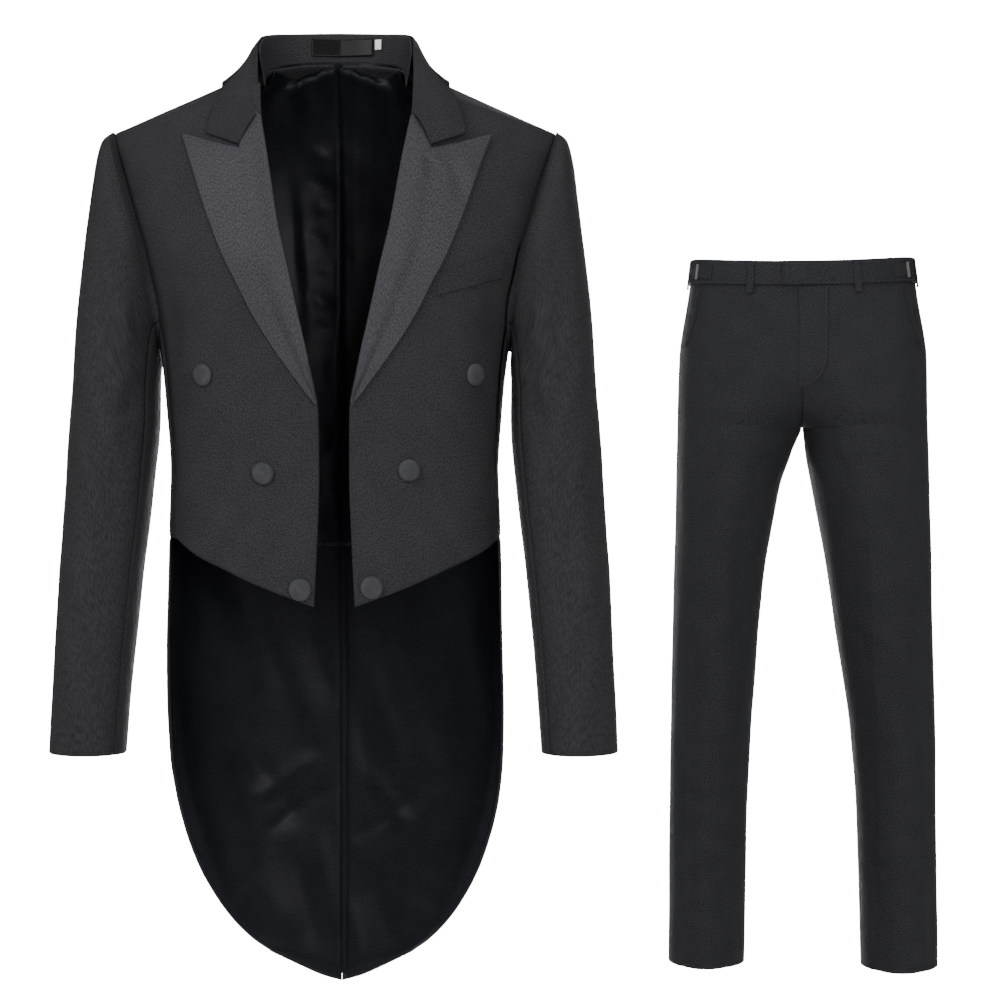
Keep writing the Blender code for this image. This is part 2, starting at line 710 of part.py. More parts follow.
def stand_face(x, z):
    """A point on the stand's inner face, at the back of the neck."""
    rows = np.linspace(len(COLLAR["fold_x"]) - 1, 4, 60)
    row = np.interp(np.abs(x), column(COLLAR, "fold_x", rows), rows)
    fold_y, fold_z = column(COLLAR, "fold_y", row), column(COLLAR, "fold_z", row)
    share = (fold_z - z) / STAND_HEIGHT
    face = fold_y * (1 - STAND_LEAN * share) - 1.15 * CLOTH - 0.05 * np.abs(x)
    return np.stack([x, face, z + 0 * x], axis=-1)


def make_neck_ribbon():
    """The blank ribbon and blank tab on the inside of the collar stand."""
    for name, low, high, left, right, thick, colour in (
        ("coat_neck_ribbon", 41, 60, -29, 36, 1.0, "ribbon"),
        ("coat_size_tab", 47, 58, 38, 45, 1.0, "white tab"),
    ):
        x = np.linspace(left, right, 7 if right - left > 20 else 3)
        z = np.linspace(high, low, 3)
        grid = stand_face(x[None] + 0 * z[:, None], z[:, None]) - (0, 2 * SEAM, 0)
        wall(name, grid, grid - (0, thick, 0), colour)


def leg_grid(rows, columns, side):
    """A leg, drawn as the left: row 0 at the waist, columns from front middle round to back."""
    high = np.linspace(TROUSER_TOP - BAND - SEAM, FORK + FORK_ROUND, 5)
    turn = np.linspace(0, 90, 7)[1:]
    curve = FORK + FORK_ROUND * (1 - np.sin(np.radians(turn)))
    low = FORK + (LEG["height"][0] - FORK) * np.linspace(0, 1, rows + 1)[1:] ** 1.1
    z = np.concatenate([high, curve, low])
    share = np.where(z >= FORK, np.clip((FORK + FORK_ROUND - z) / FORK_ROUND, 0, 1), 1.0)
    joined = 1 - np.sqrt(np.clip(1 - share**2, 0, 1))
    s = np.linspace(0, 1, columns + 1)
    a = smooth(z, HIPS["height"], HIPS["half_width"])[:, None]
    front = smooth(z, HIPS["height"], HIPS["front"])[:, None]
    back = smooth(z, HIPS["height"], HIPS["back"])[:, None]
    middle = np.where(s[None] < 0.5, front, back)
    turn = np.pi * s[None]
    facing = np.where(s[None] < 0.5, -1, 1)
    hip_x = a * np.abs(np.sin(turn)) ** HIP_BEND
    hip_y = facing * middle * np.abs(np.cos(turn)) ** HIP_BEND
    shape = {name: smooth(z, LEG["height"], LEG[name])[:, None] for name in LEG}
    if side < 0:
        shape["inner"] = shape["inner"] + smooth(z, RIGHT_LEG["height"], RIGHT_LEG["by"])[:, None]
    across = (shape["inner"] + shape["outer"]) / 2
    peak = np.abs(np.sin(2 * turn))
    deep = shape["half_depth"] + np.where(s[None] < 0.5, 0, shape["seat"])
    pressed = shape["crease"] * np.clip(peak * 6 - 5, 0, 1)
    leg_x = across - (shape["outer"] - shape["inner"]) / 2 * np.cos(2 * turn)
    leg_y = facing * (deep * peak + pressed)
    to_crease = np.clip(np.minimum(s, 1 - s)[None] * 4, 0, 1)
    ease = to_crease**2 * (3 - 2 * to_crease)
    wide_x = np.where(to_crease < 1, across * to_crease, leg_x)
    wide_y = np.where(to_crease < 1, facing * (middle + (deep - middle) * ease), leg_y)
    change = np.clip((WIDEN_FROM - z) / (WIDEN_FROM - FORK - FORK_ROUND), 0, 1)[:, None]
    change = change**2 * (3 - 2 * change)
    hip_x = hip_x * (1 - change) + wide_x * change
    hip_y = hip_y * (1 - change) + wide_y * change
    soft = (share**2 * (3 - 2 * share))[:, None]
    weight = joined[:, None] * (1 - ease) + soft * ease
    x = hip_x * (1 - weight) + leg_x * weight
    y = hip_y * (1 - weight) + leg_y * weight
    return np.stack([x, y, z[:, None] + 0 * x], axis=-1)


def leg_outward(grid):
    """Unit directions out of the leg, level at the seams between the two legs."""
    out = grid_outward(grid, False)
    closed = np.linalg.norm(grid[:, 0] - grid[:, -1], axis=-1) < 1e-6
    for r in range(len(grid)):
        if closed[r]:
            lean = out[r, 0] + out[r, -1]
            out[r, 0] = out[r, -1] = lean / max(np.linalg.norm(lean), 1e-9)
        else:
            for end in (0, -1):
                out[r, end, 0] = 0
                out[r, end] /= max(np.linalg.norm(out[r, end]), 1e-9)
    return out


def make_trousers(carrier):
    """The legs, each of a front and a back panel."""
    columns = 20
    cut = {"front": slice(0, columns // 2 + 1), "back": slice(columns // 2, columns + 1)}
    legs = {}
    for name, side in (("left", 1), ("right", -1)):
        grid = leg_grid(12, columns, side)
        out = leg_outward(grid)
        out *= np.sign((out[4] * (grid[4] - (90, 0, grid[4, 0, 2]))).sum())
        legs[name] = (grid, out)
        for piece, where in cut.items():
            surface = pull_in(grid[:, where], [0, 0, SEAM / 2, SEAM / 2])
            inner = surface - out[:, where] * CLOTH
            if side < 0:
                surface, inner = mirrored(surface), mirrored(inner)
            wall(f"trouser_{piece}_{name}", surface, inner, "trouser cloth").parent = carrier
    return legs


def waist_ring(columns, z, lift):
    """Points round the waist at heights z, starting and ending at the front closure."""
    start = 4.0
    turn = np.radians(np.linspace(start, 360 + start - 0.25, columns + 1))
    z = np.asarray(z, float)[:, None]
    a = smooth(z, HIPS["height"], HIPS["half_width"]) + lift
    deep = np.where(
        np.cos(turn)[None] > 0,
        smooth(z, HIPS["height"], HIPS["front"]),
        smooth(z, HIPS["height"], HIPS["back"]),
    ) + lift
    x = -a * np.sign(np.sin(turn))[None] * np.abs(np.sin(turn))[None] ** HIP_BEND
    y = -deep * np.sign(np.cos(turn))[None] * np.abs(np.cos(turn))[None] ** HIP_BEND
    dip = -3.0 * np.clip(np.cos(turn), 0, 1)[None] ** 2 * (1 - (TROUSER_TOP - z) / BAND)
    return np.stack([x, y, z + dip], axis=-1)


def make_waistband(carrier):
    """The waistband, open at the front closure, with its loops, side tabs and slides."""
    heights = (TROUSER_TOP, TROUSER_TOP - BAND / 2, TROUSER_TOP - BAND)
    outer = waist_ring(40, heights, 2.4)
    inner = waist_ring(40, heights, -0.2)
    wall("trouser_waistband", outer, inner, "trouser cloth").parent = carrier
    for name, turn in (("1", 24), ("2", -22), ("3", 78), ("4", -78), ("5", 180)):
        make_belt_loop(f"trouser_belt_loop_{name}", turn).parent = carrier
    for name, side in (("left", 1), ("right", -1)):
        make_side_tab(name, side, carrier)


def band_place(turn, z, lift):
    """A point at a turn round the waist, 0 in front and 90 at the wearer's left."""
    t = math.radians(turn)
    a = float(smooth(z, HIPS["height"], HIPS["half_width"])) + lift
    deep = float(smooth(z, HIPS["height"], HIPS["front" if math.cos(t) > 0 else "back"])) + lift
    x = a * math.copysign(abs(math.sin(t)) ** HIP_BEND, math.sin(t))
    y = -deep * math.copysign(abs(math.cos(t)) ** HIP_BEND, math.cos(t))
    return np.array([x, y, z - 3.0 * max(math.cos(t), 0) ** 2])


LOOP = table("drop lift", (0.5, 3.2), (5, 5), (28, 5), (38, 3.0))  # below the band's top, off it
LOOP_TURN = 2.05  # half a loop's width, in degrees round the waist


def make_belt_loop(name, turn):
    """A flat loop: its two ends lie on the band and its middle stands a little off it."""
    outer, inner = [], []
    for drop, lift in zip(LOOP["drop"], LOOP["lift"]):
        z = TROUSER_TOP - drop
        outer.append([band_place(turn + a, z, lift + 1.6) for a in (-LOOP_TURN, LOOP_TURN)])
        inner.append([band_place(turn + a, z, lift) for a in (-LOOP_TURN, LOOP_TURN)])
    return wall(name, np.array(outer), np.array(inner), "trouser cloth")


def make_side_tab(name, side, carrier):
    """The side adjuster: a strap on the band and its metal slide."""
    low, high = TROUSER_TOP - 23, TROUSER_TOP - 7

    def strip(turns, top, bottom, lift):
        return np.array([[band_place(side * t, z, lift) for t in turns] for z in (top, bottom)])

    strap = np.linspace(48, 70, 7)
    outer, inner = strip(strap, high, low, 4.4), strip(strap, high, low, 3.0)
    wall(f"trouser_side_tab_{name}", outer, inner, "trouser cloth").parent = carrier
    slide = np.linspace(61, 64, 3)
    face, foot = (strip(slide, high + 1, low - 1, lift) for lift in (5.7, 4.7))
    wall(f"trouser_tab_slide_{name}", face, foot, "metal").parent = carrier


FLY = table("height width", (-127, 36), (-190, 36), (-235, 34), (-262, 24), (-274, 9))
POCKET_TOP = (0.345, -132.0)  # share of the way round the leg, and height
POCKET_END = (0.425, -216.0)


def on_leg(grid, out, share, z, lift):
    """A point lifted off the leg, at a share of the way round and a height."""
    rows, columns = grid.shape[:2]
    row = float(np.interp(-z, -grid[:, 0, 2], np.arange(rows)))
    place = share * (columns - 1)
    r, c = min(int(row), rows - 2), min(int(place), columns - 2)
    down, over = row - r, place - c
    point = np.zeros(3)
    for i, high in ((r, 1 - down), (r + 1, down)):
        for j, wide in ((c, 1 - over), (c + 1, over)):
            point += high * wide * (grid[i, j] + out[i, j] * lift)
    return point


def make_fly(legs, carrier):
    """The fly's lap on the wearer's left front, and the pocket welts near the side seams."""
    grid, out = legs["left"]
    quarter = (grid.shape[1] - 1) // 4 + 1
    heights = grid[:, 0, 2]
    faces = {2.3: [], 1.2: []}
    for z, width in zip(FLY["height"], FLY["width"]):
        x = np.linspace(-5, width, 5)
        across = [np.interp(-z, -heights, grid[:, c, 0]) for c in range(quarter)]
        share = np.interp(np.abs(x), across, np.arange(quarter) / (grid.shape[1] - 1))
        for lift, lines in faces.items():
            line = np.array([on_leg(grid, out, part, z, lift) for part in share])
            line[:, 0] = x
            lines.append(line)
    outer, inner = (np.array(lines) for lines in faces.values())
    wall("trouser_fly", outer, inner, "trouser cloth").parent = carrier
    for name, side in (("left", 1), ("right", -1)):
        grid, out = legs[name]
        welt = []
        for lift in (2.6, 1.4):
            lines = []
            for t in np.linspace(0, 1, 6):
                share = POCKET_TOP[0] + (POCKET_END[0] - POCKET_TOP[0]) * t
                z = POCKET_TOP[1] + (POCKET_END[1] - POCKET_TOP[1]) * t
                lines.append([on_leg(grid, out, share + step, z, lift) for step in (-0.012, 0.012)])
            welt.append(np.array(lines) * (side, 1, 1))
        wall(f"trouser_pocket_{name}", welt[0], welt[1], "trouser cloth").parent = carrier


def main():
    for thing in list(bpy.data.objects):
        bpy.data.objects.remove(thing)
    make_fronts()
    make_side_bodies()
    make_backs()
    make_skirts()
    make_linings()
    make_vent()
    make_lapels()
    make_collar()
    make_sleeves()
    make_front_details()
    make_neck_ribbon()
    carrier = bpy.data.objects.new("trousers", None)
    bpy.context.scene.collection.objects.link(carrier)
    carrier.location = (TROUSER_PLACE[0] * MM, TROUSER_PLACE[1] * MM, 0)
    carrier.rotation_euler = (0, 0, math.radians(TROUSER_TURN))
    legs = make_trousers(carrier)
    make_waistband(carrier)
    make_fly(legs, carrier)


main()
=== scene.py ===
"""The looks of the tailcoat suit: its cloth, folds, lining, sewing and small trimmings.

Sizes are in millimetres in the tables and functions, and become metres as a mesh is made.
The front faces -Y, and "_left" and "_right" are the wearer's.
"""

import math

import bpy
import numpy as np
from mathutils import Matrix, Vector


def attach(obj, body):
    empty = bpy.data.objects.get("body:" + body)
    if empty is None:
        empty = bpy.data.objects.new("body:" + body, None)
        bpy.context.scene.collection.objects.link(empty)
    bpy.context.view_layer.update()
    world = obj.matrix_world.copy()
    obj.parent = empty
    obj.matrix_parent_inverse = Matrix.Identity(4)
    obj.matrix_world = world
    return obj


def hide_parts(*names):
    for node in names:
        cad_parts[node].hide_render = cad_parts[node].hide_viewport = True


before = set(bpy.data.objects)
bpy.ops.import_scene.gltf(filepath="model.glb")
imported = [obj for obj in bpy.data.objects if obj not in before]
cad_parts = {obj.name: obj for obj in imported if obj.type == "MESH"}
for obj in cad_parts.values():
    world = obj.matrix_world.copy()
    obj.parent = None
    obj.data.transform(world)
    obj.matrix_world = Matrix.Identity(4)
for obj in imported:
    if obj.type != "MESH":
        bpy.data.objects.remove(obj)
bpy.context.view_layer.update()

MM = 0.001
CLOTH = 2.0  # wall of the body cloth
LINING = 1.0  # wall of the lining
RIBBON = 1.0  # wall of the neck's ribbon and tab
SEAM = 0.3  # gap between two pieces at a seam
LINING_EASE = 5.2  # the lining hangs this far inside the cloth
FRONT_TURN = 6.0  # the coat hangs with its front this far to the wearer's left
BUTTON = 23.0  # diameter of a covered button
TROUSER_PLACE = (594.0, 900.0)  # x and y of the trousers' middle
TROUSER_TURN = -6.8  # degrees about their upright axis
BAND = 30.0  # height of the trousers' waistband
TROUSER_TOP = -95.6  # height of the waistband's top
EDGE_ROUND = 0.7  # how far a cloth edge rounds over
SEWN_ROUND = 0.05  # and how far a sewn one does
SEAM_SINK = 0.9  # how far the cloth is pressed in beside a seam
SEAM_REACH = 3.5  # and how far from the seam that reaches
THREAD_LIFT = 0.15  # how far a stitch's thread lies off the cloth
SIDES = (("left", 1), ("right", -1))  # the wearer's, and the sign of x there


def table(names, *rows):
    """Rows of numbers under named columns."""
    return dict(zip(names.split(), np.array(rows, float).T))


# The coat's sections, from the tails up to the neck.
BODY = table(
    "height half_width front back",
    (-960, 177, 100, 112),
    (-800, 177, 100, 116),
    (-700, 176.5, 100, 114),
    (-600, 175, 104, 106),
    (-540, 173.5, 108, 96),
    (-470, 172, 108, 86),
    (-400, 170, 110, 86),
    (-340, 174, 116, 94),
    (-275, 181, 122, 106),
    (-200, 199, 124, 114),
    (-150, 211, 118, 114),
    (-100, 223, 106, 108),
    (-50, 237, 92, 98),
    (20, 248, 80, 90),
    (60, 252, 80, 90),
)
ROUND = 2.3  # how square the sections are
ARCH = 100.0  # height over which the shoulder rounds from front to back
NECK_POINT = (85.0, 14.0)  # x and height of the shoulder seam at the neck
SHOULDER_POINT = (229.0, -50.0)  # and at the armhole
NECK_BACK = 30.0  # height of the back's neck edge at the middle
# Cut edges of the coat's wearer's-left half, seen from the front or the back.
ROLL_LINE = table(
    "x height",
    (79, -2), (75, -43), (65, -98), (55, -157), (45, -200), (35, -246), (27, -281), (16, -333),
)
FRONT_EDGE = table("x height", (16, -333), (15, -346), (14.5, -406), (17, -480), (20, -539))
FRONT_HEM = table("x height", (20, -539), (72, -520), (112, -502), (146, -486), (167, -470))
LAPEL_EDGE = table(
    "x height",
    (157, -61), (146, -92), (127, -148), (110, -190), (97, -215), (81, -247), (57, -285),
    (39, -310), (18, -338),
)
# The lapel's top edge: its first stretch lies under the collar, up to the notch.
LAPEL_TOP = table("x height", (80, -40), (97, -72), (95, -79.5), (125, -72), (156, -61))
BACK_SEAM = table(
    "x height",
    (170, -190), (138, -235), (105, -290), (78, -350), (60, -410), (52, -470),
)
TAIL_SEAM = table("x height", (52, -470), (56, -600), (62, -750), (66, -880), (66, -926))
TAIL_EDGE = table(
    "x height",
    (172, -470), (174, -550), (175.2, -640), (174, -700), (170, -741), (162.5, -781), (151, -820),
    (137.5, -850), (119, -880), (96.5, -905), (76, -920.5),
)
TAIL_END = table("x height", (0, -953), (20, -947.5), (43, -937.5), (66, -926))
# The armhole: turn 0 at the shoulder point, 90 at the front, 180 under the arm, 270 behind.
ARMHOLE = table(
    "turn girth height",
    (0, 74.2, -50), (22, 74.5, -58), (45, 74, -84), (70, 71.3, -125), (95, 68, -172),
    (120, 68.5, -217), (140, 72, -246), (160, 79.5, -266), (180, 90, -275), (200, 100.5, -266),
    (220, 108, -246), (245, 112.5, -210), (265, 113, -172), (290, 110, -125), (315, 106.5, -84),
    (338, 105.5, -58), (360, 105.8, -50),
)
SIDE_SEAM_TURN = 145.0  # where the front's side seam meets the armhole
BACK_SEAM_TURN = 256.0  # where the back's curved seam meets the armhole
SIDE_SEAM_GIRTH = 76.0  # the side seam's place round the body at the waist
WAIST = -470.0
# The sleeve's outer and inner edges from the crown to the cuff, and its depth fore and aft.
SLEEVE = table(
    "outer_x outer_z inner_x inner_z half_depth forward",
    (236, -51, 181, -273, 62, 0),
    (244, -58, 181, -279, 68, 0),
    (250, -82, 181, -285, 72, 0),
    (254, -118, 181, -291, 74, 0),
    (259, -165, 181.5, -299, 74, 0),
    (264, -212, 182, -308, 73, 0),
    (268, -262, 182, -322, 72, 1),
    (271, -310, 182, -342, 71, 2),
    (275, -356, 183, -368, 69, 3),
    (278.5, -400, 186, -400, 67, 4),
    (281.5, -450, 191, -448, 63, 6),
    (284, -500, 197, -498, 60, 10),
    (286.5, -550, 202, -548, 57, 14),
    (289, -602, 207, -600, 54, 18),
    (291.5, -650, 211, -648, 51, 21),
    (293, -691, 214, -692, 49, 23),
)
SLEEVE_FOLDS = table(
    "row turn spread depth", (9.5, 60, 40, 2.5), (10.5, 95, 45, 3.0), (12.0, 70, 40, 2.0),
)
# The trousers' sections: the half across both legs above the fork, one leg below it.
HIPS = table(
    "height half_width front back",
    (-440, 174, 118, 128), (-330, 174.5, 120, 130), (-250, 173, 116, 130), (-200, 168, 112, 126),
    (-150, 160, 110, 118), (-95, 152, 108, 112),
)
LEG = table(
    "height inner outer half_depth crease seat",
    (-1078, 80, 187, 70, 8, 0), (-900, 76, 185.5, 73, 8, 0), (-760, 66, 184, 79, 8, 0),
    (-640, 50, 181.5, 88, 7, 0), (-520, 32, 179, 98, 6, 2), (-430, 16, 176.5, 108, 5, 5),
    (-375, 6, 175.5, 113, 3, 8), (-331, 0.6, 174.5, 115, 2, 10), (-230, 0.3, 172, 112, 0, 10),
    (-150, 0.3, 160, 104, 0, 6), (-95, 0.3, 152, 100, 0, 2),
)
# The wearer's right leg stands with its inner edge further out.
RIGHT_LEG = table(
    "height by",
    (-1078, 0), (-900, 1), (-786, 4), (-692, 9), (-600, 15), (-506, 19), (-413, 18), (-366, 11),
    (-345, 4), (-331, 0), (-95, 0),
)
FORK = -331.0  # height of the crotch
FORK_ROUND = 95.0  # height over which the crotch seam curves under
WIDEN_FROM = -115.0  # below this the hips' oval starts to widen into two legs
HIP_BEND = 2 / 2.4  # how square the hips' oval is


def smooth(at, knots, values):
    """A smooth curve through values at rising knots, which never overshoots them."""
    knots = np.asarray(knots, float)
    values = np.asarray(values, float)
    steps = np.diff(knots)
    slopes = np.diff(values) / steps
    product = slopes[1:] * slopes[:-1]
    total = np.where(product > 0, slopes[1:] + slopes[:-1], 1)
    inner = np.where(product > 0, 2 * product / total, 0)
    tangents = np.concatenate([slopes[:1], inner, slopes[-1:]])
    at = np.clip(np.asarray(at, float), knots[0], knots[-1])
    i = np.clip(np.searchsorted(knots, at, side="right") - 1, 0, len(steps) - 1)
    t = (at - knots[i]) / steps[i]
    start = values[i] * (1 + 2 * t) * (1 - t) ** 2 + tangents[i] * steps[i] * t * (1 - t) ** 2
    end = values[i + 1] * t**2 * (3 - 2 * t) + tangents[i + 1] * steps[i] * t**2 * (t - 1)
    return start + end


def column(rows, name, at):
    """One column of a table at row numbers that may fall between rows."""
    return smooth(at, np.arange(len(rows[name])), rows[name])


def ridge(x):
    """Height of the shoulder line."""
    slope = (SHOULDER_POINT[1] - NECK_POINT[1]) / (SHOULDER_POINT[0] - NECK_POINT[0])
    return NECK_POINT[1] + (np.abs(x) - NECK_POINT[0]) * slope


def half_width(z):
    return smooth(z, BODY["height"], BODY["half_width"])


def body_depth(x, z, behind):
    """How far the body's surface lies before or behind the shoulder line, at the middle."""
    deep = np.where(
        behind,
        smooth(z, BODY["height"], BODY["back"]),
        smooth(z, BODY["height"], BODY["front"]),
    )
    fall = np.clip((ridge(x) - z) / ARCH, 0, 1)
    return deep * np.sqrt(fall * (2 - fall))


def body(girth, z):
    """Points of the coat's outer surface: girth is 0 in front, 90 at the side, 180 behind."""
    turn = np.radians(girth)
    x = half_width(z) * np.abs(np.sin(turn)) ** (2 / ROUND)
    behind = np.cos(turn) < 0
    y = body_depth(x, z, behind) * np.abs(np.cos(turn)) ** (2 / ROUND)
    return np.stack([x, np.where(behind, y, -y), z + 0 * x], axis=-1)


def girth_at(x, z, behind):
    """The girth of a place seen from the front or the back."""
    turn = np.degrees(np.arcsin(np.clip(x / half_width(z), 0, 1) ** (ROUND / 2)))
    return np.where(behind, 180 - turn, turn)


def seen_at(x, z, behind):
    """Places (girth, height) of points seen from the front or the back."""
    return np.stack([girth_at(x, z, behind), z], axis=-1)


def body_field(p):
    """Zero on the body's surface and rising outwards."""
    x, y, z = p[..., 0], p[..., 1], p[..., 2]
    left = 1 - (np.abs(x) / half_width(z)) ** ROUND
    return np.abs(y) ** ROUND - body_depth(x, z, y > 0) ** ROUND * left


def body_outward(p):
    """Unit directions out of the body's surface."""
    step = 0.05
    p = p.copy()
    p[..., 2] = np.minimum(p[..., 2], ridge(p[..., 0]) - 0.5)
    slope = [
        body_field(p + step * axis) - body_field(p - step * axis) for axis in np.eye(3)
    ]
    out = np.stack(slope, axis=-1)
    return out / np.linalg.norm(out, axis=-1, keepdims=True)


def edge(rows, count, behind=False, turned=0.0, angular=False):
    """count + 1 places (girth, height) along a cut edge, evenly by length."""
    x, z = rows["x"] + turned, rows["height"]
    far = np.concatenate([[0], np.cumsum(np.hypot(np.diff(x), np.diff(z)))])
    at = np.linspace(0, far[-1], count + 1)
    if angular:
        x, z = np.interp(at, far, x), np.interp(at, far, z)
    else:
        x, z = smooth(at, far, x), smooth(at, far, z)
    return seen_at(x, z, behind)


def armhole(start, end, count):
    """count + 1 places (girth, height) round the armhole."""
    turn = np.linspace(start, end, count + 1)
    girth = smooth(turn, ARMHOLE["turn"], ARMHOLE["girth"])
    return np.stack([girth, smooth(turn, ARMHOLE["turn"], ARMHOLE["height"])], axis=-1)


def straight(a, b, count):
    return np.asarray(a) + np.linspace(0, 1, count + 1)[:, None] * (np.asarray(b) - np.asarray(a))


def chain(*runs):
    """Runs of places, joined end to end."""
    return np.concatenate([runs[0]] + [run[1:] for run in runs[1:]])


def patch(top, bottom, left, right):
    """Places filling four edges: top and bottom run left to right, the sides run down."""
    down = np.linspace(0, 1, len(left))[:, None, None]
    over = np.linspace(0, 1, len(top))[None, :, None]
    sides = (1 - over) * left[:, None] + over * right[:, None]
    ends = (1 - down) * top[None] + down * bottom[None]
    corners = (1 - down) * ((1 - over) * top[0] + over * top[-1]) + down * (
        (1 - over) * bottom[0] + over * bottom[-1]
    )
    return sides + ends - corners


def pull_in(points, by):
    """Draws a grid's edges in, for the seam gaps: by gives top, bottom, left and right."""
    out = points.copy()
    top, bottom, left, right = by

    def toward(a, b, far):
        step = b - a
        return a + step * (far / np.maximum(np.linalg.norm(step, axis=-1, keepdims=True), 1e-6))

    out[:, 0] = toward(out[:, 0], points[:, 1], left)
    out[:, -1] = toward(out[:, -1], points[:, -2], right)
    out[0] = toward(out[0], out[1], top)
    out[-1] = toward(out[-1], out[-2], bottom)
    return out


def mirrored(points):
    return points * np.array([-1.0, 1.0, 1.0])


END_HEIGHT = 0.35  # share of a fold's height that it still has at its ends


def strokes(folds, across, height, behind):
    """The rise of soft folds: each is a ridge or a trough along a line seen from the front."""
    rise = np.zeros(across.shape)
    for x0, z0, x1, z1, width, high, back in zip(*(folds[name] for name in FOLD_COLUMNS)):
        along = np.array([x1 - x0, z1 - z0])
        length = np.hypot(*along)
        along = along / length
        far = (across - x0) * along[0] + (height - z0) * along[1]
        off = (across - x0) * -along[1] + (height - z0) * along[0]
        beyond = np.maximum(np.maximum(-far, far - length), 0)
        fade = np.clip(np.minimum(far, length - far) / (0.3 * length) + END_HEIGHT, 0, 1)
        hill = np.exp(-((off / width) ** 2) - (beyond / width) ** 2) * fade
        if behind == (back > 0):
            rise += high * hill
    return rise


def unevenness(points, scale, seed):
    """A slow, soft unevenness of cloth: a few crossed waves, about one millimetre high."""
    p = points / scale
    a, b, c = seed, seed * 1.7 + 0.6, seed * 2.3 + 1.1
    waves = np.sin(p[..., 0] * 1.0 + p[..., 2] * 0.55 + a) * np.sin(p[..., 2] * 0.8 + b)
    waves += 0.6 * np.sin(p[..., 0] * 2.1 - p[..., 2] * 1.3 + c) * np.sin(p[..., 1] * 1.4 + a)
    waves += 0.35 * np.sin(p[..., 0] * 3.7 + p[..., 2] * 2.9 + b)
    return waves


def steps_along(points, axis):
    """Distances from the first row or column of a grid to each of the others."""
    steps = np.linalg.norm(np.diff(points, axis=axis), axis=-1)
    start = np.zeros_like(np.take(steps, [0], axis=axis))
    return np.concatenate([start, np.cumsum(steps, axis=axis)], axis=axis)


def from_edges(points, sewn):
    """How much the cloth sinks beside its sewn edges: top, bottom, left and right."""
    down, over = steps_along(points, 0), steps_along(points, 1)
    gaps = (down, down[-1:] - down, over, over[:, -1:] - over)
    sink = np.zeros(points.shape[:2])
    for gap, amount in zip(gaps, sewn):
        if amount:
            sink = np.maximum(sink, amount * np.exp(-((gap / SEAM_REACH) ** 2)))
    return sink * SEAM_SINK


# How much lower the trousers hang in front and at the sides, by height.
FRONT_HANG = table(
    "height front side", (-330, 0, 0), (-140, 15, 4), (-126, 14, 4), (-98, 8, 0), (-90, 8, 0)
)


def front_hang(points):
    """Points of the trousers, whose band hangs lower in front than at the back."""
    front = np.clip(-points[..., 1] / 110, 0, 1) ** 2
    z = points[..., 2]
    by = front * np.interp(z, FRONT_HANG["height"], FRONT_HANG["front"])
    by = by + (1 - front) * np.interp(z, FRONT_HANG["height"], FRONT_HANG["side"])
    return points - by[..., None] * (0, 0, 1)


def beside_the_coat(points):
    """Points of the trousers, turned and moved to where they stand."""
    points = front_hang(points)
    c, s = math.cos(math.radians(TROUSER_TURN)), math.sin(math.radians(TROUSER_TURN))
    x, y = points[..., 0] * c - points[..., 1] * s, points[..., 0] * s + points[..., 1] * c
    return np.stack([x + TROUSER_PLACE[0], y + TROUSER_PLACE[1], points[..., 2]], axis=-1)


def rim_of(rows, columns):
    """The places of a grid's rim, in order round it, each with the place just inside it."""
    rim = [((0, c), (1, c)) for c in range(columns)]
    rim += [((r, columns - 1), (r, columns - 2)) for r in range(1, rows)]
    rim += [((rows - 1, c), (rows - 2, c)) for c in range(columns - 2, -1, -1)]
    rim += [((r, 0), (r, 1)) for r in range(rows - 2, 0, -1)]
    return rim


def add_object(name, data):
    """A new object in the scene."""
    thing = bpy.data.objects.new(name, data)
    bpy.context.scene.collection.objects.link(thing)
    return thing


def mesh_piece(name, points, faces, finish, uv):
    """A mesh object in metres, smooth, with one finish and its own UV map in metres."""
    mesh = bpy.data.meshes.new(name)
    mesh.from_pydata((np.asarray(points, float) * MM).tolist(), [], faces)
    mesh.materials.append(FINISHES[finish])
    mesh.shade_smooth()
    layer = mesh.uv_layers.new(name="cloth")
    corners = np.zeros(len(mesh.loops), np.int32)
    mesh.loops.foreach_get("vertex_index", corners)
    layer.data.foreach_set("uv", (uv[corners] * MM).astype(np.float32).ravel())
    return add_object(name, mesh)


def round_edges(base, outer, inner, sewn):
    """Rounds two grids' edges over in place, and gives the rim's places and its middle points."""
    rows, columns = base.shape[:2]
    rim = rim_of(rows, columns)
    middle = []
    for edge_at, inside_at in rim:
        toward = base[edge_at] - base[inside_at]
        toward = toward / max(np.linalg.norm(toward), 1e-9)
        r, c = edge_at
        is_sewn = sewn[0 if r == 0 else 1 if r == rows - 1 else 2 if c == 0 else 3]
        thick = np.linalg.norm(outer[edge_at] - inner[edge_at])
        back = SEWN_ROUND if is_sewn else min(EDGE_ROUND, 0.4 * thick)
        reach = toward * (SEAM / 2 if is_sewn else 0)
        middle.append((outer[edge_at] + inner[edge_at]) / 2 + reach)
        outer[edge_at] = outer[edge_at] - toward * back
        inner[edge_at] = inner[edge_at] - toward * back
    return rim, np.array(middle)


def wall_faces(rows, columns, rim):
    """Faces of a wall: its outer grid, its inner grid and two rows round the rim's middle."""
    under, round_it = rows * columns, 2 * rows * columns
    r, c = np.meshgrid(np.arange(rows - 1), np.arange(columns - 1), indexing="ij")
    a = (r * columns + c).ravel()
    quads = np.stack([a, a + 1, a + columns + 1, a + columns], axis=-1)
    faces = quads.tolist() + (quads[:, ::-1] + under).tolist()
    for i, (edge_at, _) in enumerate(rim):
        j = (i + 1) % len(rim)
        p, q = edge_at[0] * columns + edge_at[1], rim[j][0][0] * columns + rim[j][0][1]
        faces.append([p, round_it + i, round_it + j, q])
        faces.append([round_it + i, under + p, under + q, round_it + j])
    return faces


